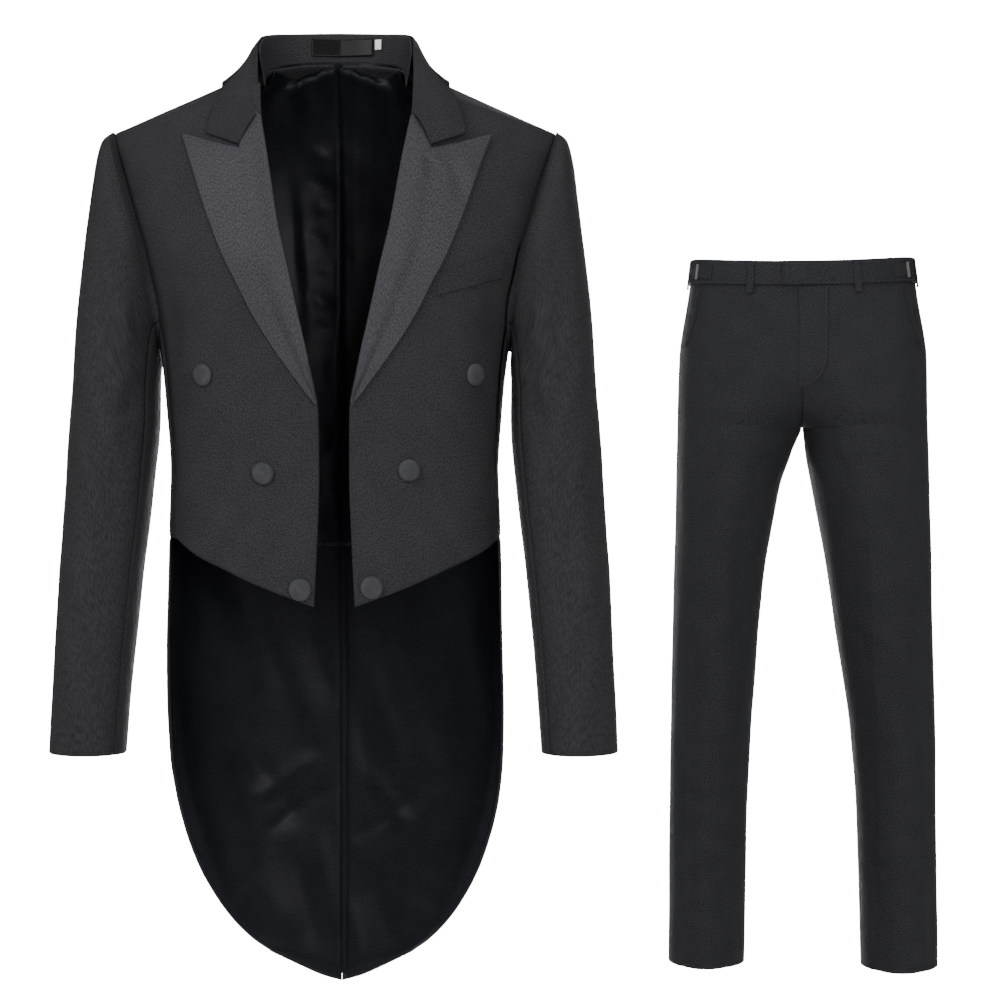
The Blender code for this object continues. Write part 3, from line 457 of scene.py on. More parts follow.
def wall(name, outer, inner, finish, sewn=(0, 0, 0, 0), side=1):
    """A cloth piece between two grids of points, folded and rounded at its edges.

    The grids are drawn on the wearer's left, and mirrored where side is -1.
    """
    if side < 0:
        outer, inner = mirrored(outer), mirrored(inner)
    base = outer
    thick = np.linalg.norm(outer - inner, axis=-1, keepdims=True)
    out = (outer - inner) / np.maximum(thick, 1e-9)
    rise = relief(name, outer) - from_edges(outer, sewn)
    outer = outer + out * rise[..., None]
    inner = outer - out * thick
    rim, middle = round_edges(base, outer, inner, sewn)
    points = np.concatenate([outer.reshape(-1, 3), inner.reshape(-1, 3), middle])
    FACES[name] = outer + out * THREAD_LIFT
    if name.startswith("trouser"):
        points = beside_the_coat(points)
        FACES[name] = beside_the_coat(FACES[name])
    rows, columns = base.shape[:2]
    faces = wall_faces(rows, columns, rim)
    facing = np.cross(np.gradient(base, axis=1), np.gradient(base, axis=0))
    if (out * facing).sum() < 0:
        faces = [f[::-1] for f in faces]
    down, over = steps_along(base, 0), steps_along(base, 1)
    flat = np.stack([over, down], axis=-1).reshape(-1, 2)
    uv = np.concatenate([flat, flat, [flat[e[0] * columns + e[1]] for e, _ in rim]])
    piece = mesh_piece(f"{name}_cloth", points, faces, finish, uv)
    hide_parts(name)
    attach(piece, "root")


def body_wall(name, places, finish, thick=CLOTH, lift=0.0, gaps=(0.5,) * 4, side=1, sewn=(0,) * 4):
    """A panel on the body's surface; lift moves it out, and a negative lift in."""
    surface = body(places[..., 0], places[..., 1])
    out = body_outward(surface)
    surface = pull_in(surface, [SEAM * share for share in gaps])
    wall(name, surface + out * lift, surface + out * (lift - thick), finish, sewn, side)


def grid_outward(points, ring):
    """Unit directions out of a tube's grid of points."""
    if ring:
        across = np.roll(points, -1, axis=1) - np.roll(points, 1, axis=1)
    else:
        across = np.gradient(points, axis=1)
    down = np.gradient(points, axis=0)
    out = np.cross(across, down)
    out /= np.maximum(np.linalg.norm(out, axis=-1, keepdims=True), 1e-9)
    return out


# A fold runs from (x0, z0) to (x1, z1); a trough is negative, and back is 1 on the hind side.
FOLD_COLUMNS = ("x0", "z0", "x1", "z1", "width", "high", "back")
# Soft folds of the coat's body, in front as seen and behind as a hung coat has them.
COAT_FOLDS = table(
    "x0 z0 x1 z1 width high back",
    (-179, -168, -159, -262, 13, -2.2, 0),
    (-164, -232, -152, -362, 12, -1.6, 0),
    (-187, -133, -177, -232, 10, 1.2, 0),
    (179, -168, 161, -262, 13, -2.2, 0),
    (164, -242, 153, -362, 12, -1.6, 0),
    (191, -123, 179, -222, 10, 1.2, 0),
    (-143, -282, -78, -372, 22, 1.4, 0),
    (-128, -412, -78, -452, 18, -1.1, 0),
    (-68, -332, -28, -402, 20, 1.0, 0),
    (141, -282, 92, -372, 22, 1.3, 0),
    (121, -412, 72, -461, 18, -1.1, 0),
    (52, -362, 44, -491, 15, 0.9, 0),
    (-148, -432, -28, -516, 9, 1.2, 0),
    (166, -442, 44, -521, 9, 1.2, 0),
    (-202, -78, -128, -51, 14, -1.0, 0),
    (206, -78, 131, -51, 14, -1.0, 0),
    (-58, -461, -28, -531, 12, -1.0, 0),
    (111, -476, 72, -452, 12, 0.9, 0),
    (-170, -420, -60, -330, 20, -1.6, 1),
    (170, -410, 70, -330, 20, -1.8, 1),
    (-150, -300, -90, -180, 22, 1.6, 1),
    (140, -310, 95, -190, 24, 1.5, 1),
    (-60, -120, 70, -128, 16, -1.2, 1),
    (-120, -560, -90, -800, 22, 2.4, 1),
    (-60, -540, -80, -760, 20, -2.2, 1),
    (110, -550, 120, -820, 24, 2.2, 1),
    (55, -560, 75, -700, 18, -2.0, 1),
    (-150, -640, -140, -760, 15, -1.6, 1),
    (150, -600, 146, -780, 16, 1.5, 1),
    (20, -620, 26, -880, 14, 1.6, 1),
    (-28, -640, -24, -860, 14, 1.3, 1),
    (-100, -850, -30, -900, 16, 1.4, 1),
    (110, -840, 40, -905, 17, -1.3, 1),
)
# Puckers and gathers of the lining inside the neck and back.
NECK_FOLDS = table(
    "x0 z0 x1 z1 width high back",
    (-63, 29, -48, -21, 7, 2.2, 1),
    (-76, 16, -70, -31, 5, -1.8, 1),
    (-44, 27, -25, -31, 6, -2.0, 1),
    (-53, -1, -38, -55, 5, 1.6, 1),
    (-31, -55, -16, -66, 4, 1.9, 1),
    (-33, -83, -16, -96, 4, -1.7, 1),
    (-29, -111, -15, -120, 4, 1.8, 1),
    (-35, -143, -15, -158, 4, -1.6, 1),
    (-30, -176, -14, -184, 4, 1.8, 1),
    (-33, -208, -13, -223, 5, -1.8, 1),
    (-27, -240, -12, -253, 4, 1.7, 1),
    (-7, -1, 3, -33, 5, -1.4, 1),
    (-8, -77, 5, -98, 5, 1.3, 1),
    (-7, -152, 10, -176, 5, -1.3, 1),
    (-5, -216, 12, -236, 5, 1.5, 1),
    (17, 16, 12, -216, 11, 1.8, 1),
    (33, 10, 27, -152, 8, -1.6, 1),
    (53, 10, 46, -98, 8, 1.5, 1),
    (-44, -109, -31, -302, 9, 1.9, 1),
    (-57, -77, -42, -249, 7, -1.7, 1),
    (-27, -272, -10, -346, 5, -2.3, 1),
    (-20, -324, 10, -383, 6, 2.6, 1),
    (-25, -365, 12, -412, 5, -2.6, 1),
    (10, -346, -22, -399, 6, 2.3, 1),
    (12, -399, -16, -437, 5, -2.4, 1),
    (-22, -399, -1, -475, 6, 2.2, 1),
    (10, -281, 4, -356, 5, 2.0, 1),
    (12, -453, -5, -496, 5, 2.0, 1),
    (-25, -453, -7, -518, 5, -2.0, 1),
    (-2, -270, 0, -389, 4, -1.8, 1),
)
# Folds of the lining inside the tails.
TAIL_FOLDS = table(
    "x0 z0 x1 z1 width high back",
    (-153, -496, -86, -665, 17, 2.9, 1),
    (-118, -496, -56, -637, 14, -2.7, 1),
    (-84, -540, -21, -693, 13, 2.4, 1),
    (-45, -540, -9, -648, 10, -2.4, 1),
    (-164, -583, -138, -712, 15, -2.1, 1),
    (-177, -561, -168, -691, 8, 1.8, 1),
    (-138, -691, -99, -823, 16, 2.4, 1),
    (-105, -699, -45, -779, 11, -2.4, 1),
    (-90, -751, -28, -708, 9, 2.6, 1),
    (-77, -788, -12, -740, 8, -2.3, 1),
    (-112, -810, -53, -896, 15, 2.2, 1),
    (-53, -810, -25, -918, 12, -2.0, 1),
    (-25, -788, -6, -896, 9, 1.7, 1),
    (-123, -864, -79, -911, 9, -1.6, 1),
    (-153, -756, -131, -842, 9, 1.6, 1),
    (20, -583, 68, -734, 13, 2.8, 1),
    (52, -550, 115, -708, 15, -2.7, 1),
    (96, -529, 152, -665, 17, 2.9, 1),
    (139, -540, 165, -691, 11, -2.2, 1),
    (16, -648, 39, -777, 9, -2.3, 1),
    (26, -723, 76, -788, 9, 2.5, 1),
    (16, -797, 72, -756, 8, -2.2, 1),
    (50, -831, 106, -745, 13, 2.4, 1),
    (85, -842, 132, -756, 12, -2.3, 1),
    (124, -853, 147, -788, 8, 1.6, 1),
    (33, -842, 63, -920, 13, -1.9, 1),
    (76, -864, 106, -896, 11, 1.7, 1),
    (11, -561, 20, -648, 7, 2.0, 1),
    (20, -531, 44, -583, 7, -2.0, 1),
    (9, -864, 22, -935, 8, 1.7, 1),
    (156, -496, 171, -583, 9, 1.8, 1),
)
# The dents and rolls of the satin lapels.
LAPEL_FOLDS = table(
    "x0 z0 x1 z1 width high back",
    (123, -93, 135, -129, 7, -2.0, 0),
    (137, -83, 145, -109, 5, 1.0, 0),
    (96, -85, 105, -101, 4, -1.3, 0),
    (105, -81, 111, -97, 3, 1.1, 0),
    (90, -93, 96, -111, 4, 0.9, 0),
    (-92, -163, -52, -250, 16, 1.2, 0),
    (-72, -208, -28, -304, 10, -0.9, 0),
    (92, -153, 56, -248, 16, 1.1, 0),
    (72, -208, 34, -306, 9, -0.9, 0),
    (-132, -79, -106, -109, 8, -0.8, 0),
    (-114, -115, -88, -145, 9, 0.9, 0),
)
# The long hanging folds of the sleeves.
SLEEVE_DRAPE = table(
    "x0 z0 x1 z1 width high back",
    (-243, -117, -258, -350, 15, 2.0, 0),
    (-223, -106, -233, -350, 13, -2.0, 0),
    (-207, -147, -207, -330, 12, 1.7, 0),
    (-195, -228, -209, -401, 9, -2.2, 0),
    (-237, -360, -262, -574, 15, 1.9, 0),
    (-217, -371, -237, -594, 11, -1.8, 0),
    (-251, -533, -262, -675, 13, -1.3, 0),
    (-223, -594, -227, -686, 9, 1.2, 0),
    (-188, -289, -219, -322, 7, 1.9, 0),
    (-195, -330, -227, -354, 7, -1.8, 0),
    (-270, -391, -276, -493, 10, -1.3, 0),
    (-231, -66, -239, -127, 9, 1.2, 0),
    (246, -127, 257, -350, 15, 2.0, 0),
    (228, -106, 234, -330, 12, -2.0, 0),
    (210, -157, 218, -350, 11, 1.7, 0),
    (196, -249, 218, -411, 9, -2.2, 0),
    (242, -360, 265, -584, 15, 1.9, 0),
    (224, -381, 244, -594, 11, -1.8, 0),
    (265, -533, 273, -675, 13, -1.3, 0),
    (230, -594, 238, -686, 9, 1.2, 0),
    (187, -295, 220, -326, 7, 1.9, 0),
    (194, -334, 228, -358, 7, -1.8, 0),
    (273, -391, 279, -493, 10, -1.3, 0),
    (232, -66, 240, -127, 9, 1.2, 0),
    (-262, -120, -262, -330, 16, -1.8, 1),
    (-240, -140, -250, -360, 14, 1.7, 1),
    (-205, -260, -260, -330, 10, -2.2, 1),
    (-205, -320, -262, -372, 9, 2.0, 1),
    (-215, -380, -270, -410, 9, -1.8, 1),
    (-240, -430, -262, -620, 15, 1.8, 1),
    (262, -120, 264, -330, 16, -1.8, 1),
    (240, -150, 252, -350, 14, 1.7, 1),
    (204, -270, 262, -340, 10, -2.2, 1),
    (206, -330, 262, -382, 9, 2.0, 1),
    (216, -395, 270, -420, 9, -1.8, 1),
    (238, -440, 264, -610, 15, 1.8, 1),
)
# Pressed creases, tucks and folds of the trousers, from their own middle.
TROUSER_FOLDS = table(
    "x0 z0 x1 z1 width high back",
    (-104, -438, -126, -600, 3.2, 1.5, 0),
    (-126, -600, -131, -733, 3.2, 1.5, 0),
    (-131, -733, -123, -978, 3.2, 1.5, 0),
    (-123, -978, -130, -1034, 3.4, 1.3, 0),
    (86, -404, 97, -621, 3.2, 1.5, 0),
    (97, -621, 103, -811, 3.2, 1.5, 0),
    (103, -811, 107, -1015, 3.4, 1.3, 0),
    (-57, -147, -60, -201, 4, -1.8, 0),
    (53, -145, 53, -196, 4, -1.8, 0),
    (-77, -160, -89, -269, 15, -1.3, 0),
    (72, -160, 80, -269, 15, -1.3, 0),
    (-151, -174, -81, -231, 11, -2.2, 0),
    (-149, -215, -73, -285, 12, 1.5, 0),
    (-151, -258, -97, -337, 13, -1.5, 0),
    (142, -188, 94, -244, 11, 1.3, 0),
    (148, -242, 99, -323, 13, -1.6, 0),
    (-7, -339, -62, -391, 8, -2.4, 0),
    (-10, -358, -68, -440, 10, 1.9, 0),
    (1, -339, 59, -391, 8, -2.4, 0),
    (4, -361, 64, -448, 10, 1.9, 0),
    (-17, -312, -60, -334, 6, 1.4, 0),
    (13, -310, 59, -337, 6, 1.4, 0),
    (-84, -404, -78, -621, 17, -1.9, 0),
    (-151, -391, -151, -621, 15, 1.7, 0),
    (-52, -459, -76, -621, 12, 1.6, 0),
    (40, -459, 59, -649, 12, 1.5, 0),
    (132, -391, 137, -621, 14, -1.7, 0),
    (67, -621, 86, -784, 13, -1.6, 0),
    (-157, -621, -162, -838, 12, -1.4, 0),
    (-97, -649, -95, -866, 14, 1.4, 0),
    (132, -689, 148, -879, 13, 1.5, 0),
    (80, -838, 132, -890, 9, -2.1, 0),
    (91, -882, 153, -936, 9, 2.2, 0),
    (88, -936, 148, -982, 9, -2.0, 0),
    (105, -982, 156, -1020, 8, 1.5, 0),
    (-151, -906, -105, -952, 9, -1.5, 0),
    (-157, -963, -108, -1004, 9, 1.4, 0),
    (-100, -974, -92, -1042, 8, -1.1, 0),
    (-90, -360, -60, -420, 14, -2.4, 1),
    (90, -350, 60, -415, 14, -2.4, 1),
    (-120, -395, -50, -450, 12, 2.0, 1),
    (120, -390, 52, -446, 12, 2.0, 1),
    (-95, -200, -95, -300, 26, 1.6, 1),
    (95, -200, 95, -300, 26, 1.6, 1),
    (-100, -440, -112, -640, 3.4, 1.4, 1),
    (-112, -640, -128, -860, 3.4, 1.4, 1),
    (-128, -860, -133, -1060, 3.4, 1.3, 1),
    (104, -440, 116, -640, 3.4, 1.4, 1),
    (116, -640, 128, -860, 3.4, 1.4, 1),
    (128, -860, 134, -1060, 3.4, 1.3, 1),
    (-150, -560, -100, -600, 12, -1.8, 1),
    (150, -575, 100, -610, 12, -1.7, 1),
    (-160, -880, -100, -920, 11, 1.7, 1),
    (156, -900, 104, -940, 11, 1.6, 1),
    (-165, -700, -160, -840, 16, 1.5, 1),
    (70, -620, 76, -760, 16, -1.5, 1),
)
FRONT_ROWS = 56  # rows of the front down to the side seam
SIDE_ROWS = 48  # rows from there to the waist
SHOULDER_COLUMNS = 48
NECK_COLUMNS = 18
TAIL_ROWS = 100


def shoulder_line(count):
    x = np.linspace(NECK_POINT[0], SHOULDER_POINT[0], count + 1)
    return seen_at(x, ridge(x), False)


def side_seam(count):
    start = armhole(SIDE_SEAM_TURN, SIDE_SEAM_TURN, 1)[0]
    return straight(start, (SIDE_SEAM_GIRTH, WAIST), count)


def make_fronts():
    """The foreparts, from the roll line and front edge to the armhole and side seam."""
    for name, side in SIDES:
        turned = FRONT_TURN * side
        left = chain(
            edge(ROLL_LINE, FRONT_ROWS, turned=turned),
            edge(FRONT_EDGE, SIDE_ROWS, turned=turned),
        )
        top = shoulder_line(SHOULDER_COLUMNS)
        left[0] = top[0]
        right = chain(armhole(1.5, SIDE_SEAM_TURN, FRONT_ROWS), side_seam(SIDE_ROWS))
        right[0] = top[-1]
        bottom = edge(FRONT_HEM, SHOULDER_COLUMNS, turned=turned)
        bottom[-1] = right[-1]
        places = patch(top, bottom, left, right)
        body_wall(
            f"coat_front_{name}", places, "coat cloth", gaps=(1, 1, 1, 1), side=side, sewn=(1, 0, 0, 1)
        )


def back_seam(count):
    start = armhole(BACK_SEAM_TURN, BACK_SEAM_TURN, 1)[0]
    seam = edge(BACK_SEAM, count, behind=True)
    seam[0] = start
    return seam


def make_side_bodies():
    """The panels under the arm, down to the waist seam."""
    top = armhole(SIDE_SEAM_TURN, BACK_SEAM_TURN, 24)
    left, right = side_seam(FRONT_ROWS), back_seam(FRONT_ROWS)
    bottom = straight(left[-1], right[-1], 24)
    places = patch(top, bottom, left, right)
    for name, side in SIDES:
        body_wall(
            f"coat_side_{name}", places, "coat cloth", gaps=(1, 1, 1, 1), side=side, sewn=(1, 1, 1, 1)
        )


def make_backs():
    """Each back runs from the neck and shoulder down into its tail."""
    neck_x = np.linspace(0, NECK_POINT[0], NECK_COLUMNS + 1)
    neck_z = NECK_BACK - (NECK_BACK - NECK_POINT[1]) * (neck_x / NECK_POINT[0]) ** 2
    neck = seen_at(neck_x, neck_z, True)
    shoulder = shoulder_line(SHOULDER_COLUMNS)
    shoulder[:, 0] = 180 - shoulder[:, 0]
    top = chain(neck, shoulder)
    right = chain(
        armhole(358.5, BACK_SEAM_TURN, FRONT_ROWS),
        back_seam(FRONT_ROWS),
        edge(TAIL_SEAM, TAIL_ROWS, behind=True),
    )
    right[0] = top[-1]
    upper = np.linspace(NECK_BACK, right[FRONT_ROWS, 1], FRONT_ROWS + 1)
    middle = np.concatenate([upper, right[FRONT_ROWS + 1:, 1]])
    middle[-1] = TAIL_END["height"][0]
    left = np.stack([180 + 0 * middle, middle], axis=-1)
    bottom = edge(TAIL_END, NECK_COLUMNS + SHOULDER_COLUMNS, behind=True)
    bottom[-1] = right[-1]
    places = patch(top, bottom, left, right)
    for name, side in SIDES:
        body_wall(
            f"coat_back_{name}", places, "coat cloth", gaps=(1, 1, 0.5, 1), side=side, sewn=(1, 0, 1, 1)
        )


def skirt_places(columns, rows):
    """Places of the skirt, from its open front edge at the side to the tail's seam."""
    left = edge(TAIL_EDGE, rows, behind=True)
    start = np.array([SIDE_SEAM_GIRTH + 6, WAIST])
    forward = np.linspace(1, 0, rows + 1) ** 2
    left[:, 0] -= forward * (left[0, 0] - start[0])
    right = edge(TAIL_SEAM, rows, behind=True)
    top = straight(left[0], right[0], columns)
    return patch(top, straight(left[-1], right[-1], columns), left, right)


def make_skirts():
    """The skirts of the tails, sewn on at the waist."""
    for name, side in SIDES:
        places = skirt_places(28, TAIL_ROWS)
        body_wall(f"coat_skirt_{name}", places, "coat cloth", side=side, sewn=(1, 0, 0, 1))


def collar_fold(at):
    """Points of the collar's fold, at rows of its table."""
    return np.stack([column(COLLAR, name, at) for name in ("fold_x", "fold_y", "fold_z")], axis=-1)


def stand_line(x):
    """Points just inside the foot of the collar's stand, behind the neck."""
    last, first = len(COLLAR["fold_x"]) - 1, BEHIND_NECK
    at = np.interp(x, COLLAR["fold_x"][:first - 1:-1], np.arange(last, first - 1, -1))
    return collar_fold(at) * (0.85, 0.82, 1) - (0, 0, STAND_HEIGHT + 2)


VENT_EDGE = {"left": 6.0, "right": 0.6}  # how far each tail's lining stops from the middle
NECK_ROWS = 8  # rows of the lining between its panel and the stand
TURNED_UP = 3.0  # how far the lining's top edge runs on above its panel, beside the neck
BODY_LINING_LIFT = -(CLOTH + LINING_EASE + 1.6)  # a little deeper than the tails' lining
BODY_LINING_EDGE = table(
    "height girth", (WAIST - 10, 88), (-275, 92), (-245, 112), (-200, 120), (-100, 122), (-62, 126),
)


def make_body_lining(name, side):
    """The lining inside the back, which runs up behind the collar's stand."""
    low = np.linspace(-250, WAIST - 10, 44)
    middle = np.concatenate([np.linspace(36, -245, 56), low])
    sides = np.concatenate([np.linspace(-62, -245, 56), low])
    left = np.stack([180 + 0 * middle, middle], axis=-1)
    girth = smooth(sides, BODY_LINING_EDGE["height"], BODY_LINING_EDGE["girth"])
    right = np.stack([girth, sides], axis=-1)
    across = np.linspace(0, 1, 45) * 190
    under_ridge = ridge(across) - 16 + 2 * np.cos(across * 0.35) * np.exp(-across / 60)
    top = seen_at(across, under_ridge, True)
    left[0], right[0] = top[0], top[-1]
    places = patch(top, straight(left[-1], right[-1], 44), left, right)
    surface = body(places[..., 0], places[..., 1])
    out = body_outward(surface)
    surface = pull_in(surface, [SEAM / 2] * 4) + out * BODY_LINING_LIFT
    upward = surface[0] - surface[1]
    upward = upward / np.linalg.norm(upward, axis=-1, keepdims=True)
    near_neck = np.clip((100 - across) / 22, 0, 1)[:, None]
    beyond = (surface[0] + TURNED_UP * upward) * (1 - near_neck) + stand_line(across) * near_neck
    step = np.arange(NECK_ROWS)[:, None, None] / NECK_ROWS
    step = np.concatenate([step**2, step**2, step], axis=-1)
    surface = np.concatenate([beyond[None] * (1 - step) + surface[:1] * step, surface])
    out = np.concatenate([out[:1]] * NECK_ROWS + [out])
    wall(f"coat_lining_{name}", surface, surface - out * LINING, "lining", (0, 0, 1, 0), side)


def make_tail_lining(name, side):
    """The lining inside a tail: it hangs free in the middle and meets the cloth at its edge."""
    right = edge(TAIL_EDGE, TAIL_ROWS, behind=True)
    right[:, 0] += 0.5
    right[-1] = girth_at(66, -924.5, True), -924.5
    down = np.linspace(WAIST, -951, TAIL_ROWS + 1)
    left = seen_at(VENT_EDGE[name], down, True)
    top = straight(left[0], right[0], 48)
    places = patch(top, straight(left[-1], right[-1], 48), left, right)
    far = np.linspace(1, 0, places.shape[1])[None] * 160
    far = np.minimum(far, np.linspace(1, 0, places.shape[0])[:, None] * 470)
    hang = -(CLOTH + 0.4 + (LINING_EASE - 0.4) * (1 - np.exp(-((far / 9) ** 2))))
    gaps = (0, 1, 1, 1)
    body_wall(f"coat_tail_lining_{name}", places, "lining", LINING, hang[..., None], gaps, side)


def make_linings():
    """The lining shows inside the back of the body and inside the tails."""
    for name, side in SIDES:
        make_body_lining(name, side)
        make_tail_lining(name, side)


VENT_STRIP = {"left": 13, "right": -14, "top": WAIST + 12, "bottom": -944}  # its edges


def make_vent():
    """The strip that backs the open vent between the tails."""
    heights = np.linspace(VENT_STRIP["top"], VENT_STRIP["bottom"], TAIL_ROWS + 1)
    across = np.linspace(VENT_STRIP["right"], VENT_STRIP["left"], 9)
    down = heights[:, None] + 0 * across[None]
    surface = body(girth_at(np.abs(across)[None], down, True), down)
    surface[..., 0] *= np.sign(across)
    out = np.array([0.0, 1.0, 0.0])
    lift = CLOTH + 0.4 * LINING_EASE
    wall("coat_vent_strip", surface - out * lift, surface - out * (lift + LINING), "lining")


def lapel_places(columns, rows, turned):
    """Places of the lapel, between its roll line and its outer edge."""
    left = edge(
        {"x": ROLL_LINE["x"][1:], "height": ROLL_LINE["height"][1:]}, rows, turned=turned
    )
    right = edge(LAPEL_EDGE, rows, turned=turned)
    top = edge(LAPEL_TOP, columns, turned=turned, angular=True)
    left[0], right[0] = top[0], top[-1]
    return patch(top, straight(left[-1], right[-1], columns), left, right)


LAPEL_ROLL = 2.6  # how far the lapel swells beside its roll line
GORGE_FADE = 60.0  # height over which that swelling fades out towards the gorge


def make_lapels():
    """The peaked lapels lie on the foreparts and roll softly at their inner edge."""
    for name, side in SIDES:
        places = lapel_places(40, 84, FRONT_TURN * side)
        surface = body(places[..., 0], places[..., 1])
        out = body_outward(surface)
        from_roll = np.interp(-surface[..., 2], -surface[:, 0, 2], surface[:, 0, 0])
        from_roll = np.abs(surface[..., 0] - from_roll)
        reach = np.clip(0.6 * np.ptp(surface[..., 0], axis=1), 4, 36)[:, None]
        below_gorge = np.clip((surface[0, 0, 2] - surface[..., 2]) / GORGE_FADE, 0, 1)
        roll = LAPEL_ROLL * np.sin(np.pi * np.minimum(from_roll / reach, 1)) ** 2 * below_gorge
        foot = surface + out * (4 * SEAM + roll[..., None])
        wall(f"coat_lapel_{name}", foot + out * CLOTH, foot, "lapel satin", side=side)


STAND_HEIGHT = 30.0  # of the collar's stand, below its fold
STAND_LEAN = 0.075  # share by which the stand narrows towards the neck seam
STAND_UNDER = 6.0  # how far the stand runs on behind the lining
BEHIND_NECK = 4  # the collar's first row behind the neck
# The collar, from the gorge round to the middle of the back: its fold, and its outer edge.
COLLAR = table(
    "fold_x fold_y fold_z edge_x edge_z behind",
    (77, -79, -43, 95, -77, 0),
    (78, -58, -20, 130, -64, 0),
    (80, -32, 10, 123, -34, 0),
    (80, -8, 36, 116, -14, 0),
    (78, 18, 52, 107, -2, 1),
    (66, 45, 60, 98, 2, 1),
    (40, 66, 65, 64, 6, 1),
    (0, 74, 67, 0, 9, 1),
)


def collar_curves(count):
    """Points along the collar's fold and outer edge, with the way out at that edge."""
    at = np.linspace(0, len(COLLAR["fold_x"]) - 1, count + 1)
    fold = collar_fold(at)
    x, z = column(COLLAR, "edge_x", at), column(COLLAR, "edge_z", at)
    rows = np.arange(len(COLLAR["edge_x"]))
    x = np.where(at < 1, np.interp(at, rows, COLLAR["edge_x"]), x)
    z = np.where(at < 1, np.interp(at, rows, COLLAR["edge_z"]), z)
    turn = girth_at(x, z, False)
    behind = column(COLLAR, "behind", at)
    front, back = body(turn, z), body(180 - turn, z)
    rim = front + (back - front) * behind[:, None]
    z_over = np.where(ridge(x) - z < 14, 5.0, 0.0)
    out = body_outward(np.where(behind[:, None] > 0.5, back, front))
    return fold, rim + z_over[:, None] * (0, 0, 1), out


def both_halves(half):
    """A grid that runs on from one half to the mirrored other half."""
    return np.concatenate([half, mirrored(half[:, -2::-1])], axis=1)


COLLAR_SWELL = {"front": 4.0, "behind": -1.5, "shoulder": -5.0}  # of the fall, off its chord
COLLAR_LIFT = 3.5  # how far the fall's edge lies off the coat


def make_collar():
    """The fall of the collar, outside, and its stand, inside the neck."""
    fold, rim, out = collar_curves(70)
    at_front = np.clip(np.linspace(3, -4, 71), 0, 1)[:, None]
    at_shoulder = np.exp(-((np.linspace(-3.3, 3.7, 71) / 0.9) ** 2))[:, None]
    hollow = COLLAR_SWELL["behind"] + COLLAR_SWELL["shoulder"] * at_shoulder
    rows = []
    for t in np.linspace(0, 1, 25):
        swell = math.sin(math.pi * t)
        bulge = (COLLAR_SWELL["front"] * at_front + hollow) * swell
        bulge = bulge + SEAM + COLLAR_LIFT * min(6 * t, 1)
        rows.append(fold * (1 - t) + rim * t + out * bulge + (0, 0, 2 * swell))
    outer = both_halves(np.array(rows))
    outer[..., 0] += FRONT_TURN * np.clip(-outer[..., 1] / 80, 0, 1)
    normal = grid_outward(outer, False)
    normal *= np.sign((normal * outer * (1, 1, 0)).sum(-1).mean())
    wall("coat_collar", outer + normal * CLOTH, outer, "coat cloth")
    stand = []
    for t in np.linspace(0, 1, 13):
        lean = 1 - STAND_LEAN * t
        stand.append(fold * (lean, lean, 1) - (0, 0, (STAND_HEIGHT + STAND_UNDER) * t))
    inner = both_halves(np.array(stand)[:, 28:])
    inner[..., 0] += FRONT_TURN * np.clip(-inner[..., 1] / 80, 0, 1)
    way = grid_outward(inner, False)
    way *= np.sign((way * inner * (1, 1, 0)).sum(-1).mean())
    wall("coat_collar_stand", inner, inner - way * CLOTH, "coat cloth")


TURNED_IN = 4.0  # how far the sleeve's head turns in behind the armhole


def sleeve_loop(turn):
    """Points of the armhole on the coat's surface."""
    girth = smooth(turn, ARMHOLE["turn"], ARMHOLE["girth"])
    return body(girth, smooth(turn, ARMHOLE["turn"], ARMHOLE["height"]))


def sleeve_grid(rows, columns):
    """The sleeve's outer points: row 0 at the crown, column 0 at the outer edge."""
    at = np.linspace(0, len(SLEEVE["outer_x"]) - 1, rows + 1)
    turn = np.linspace(0, 360, columns, endpoint=False)
    points = sleeve_ovals(at, turn)
    crown = np.clip(1 - at[:, None] / 6, 0, 1) ** 1.5
    loop = sleeve_loop(turn)
    loop = loop + body_outward(loop) * 1.5
    scoop = loop - points[:1]
    points[0] = loop + (0.8, 0, 0)
    for r in range(1, rows + 1):
        points[r] += scoop[0] * crown[r] * (0.7, 0.3, 0.6)
    folds = zip(*(SLEEVE_FOLDS[name] for name in ("row", "turn", "spread", "depth")))
    for row, where, spread, sink in folds:
        dip = np.exp(-(((at[:, None] - row) / 0.5) ** 2) - ((turn[None] - where) / spread) ** 2)
        points[..., 1] += sink * dip
    return points


def sleeve_ovals(at, turn):
    """The sleeve's plain ovals, before its head is drawn to the armhole."""
    names = ("outer_x", "outer_z", "inner_x", "inner_z", "half_depth", "forward")
    ox, oz, ix, iz, deep, forward = (column(SLEEVE, name, at)[:, None] for name in names)
    c, s = np.cos(np.radians(turn))[None], np.sin(np.radians(turn))[None]
    x = (ox + ix) / 2 + (ox - ix) / 2 * c
    z = (oz + iz) / 2 + (oz - iz) / 2 * c
    return np.stack([x, -deep * s - forward, z], axis=-1)


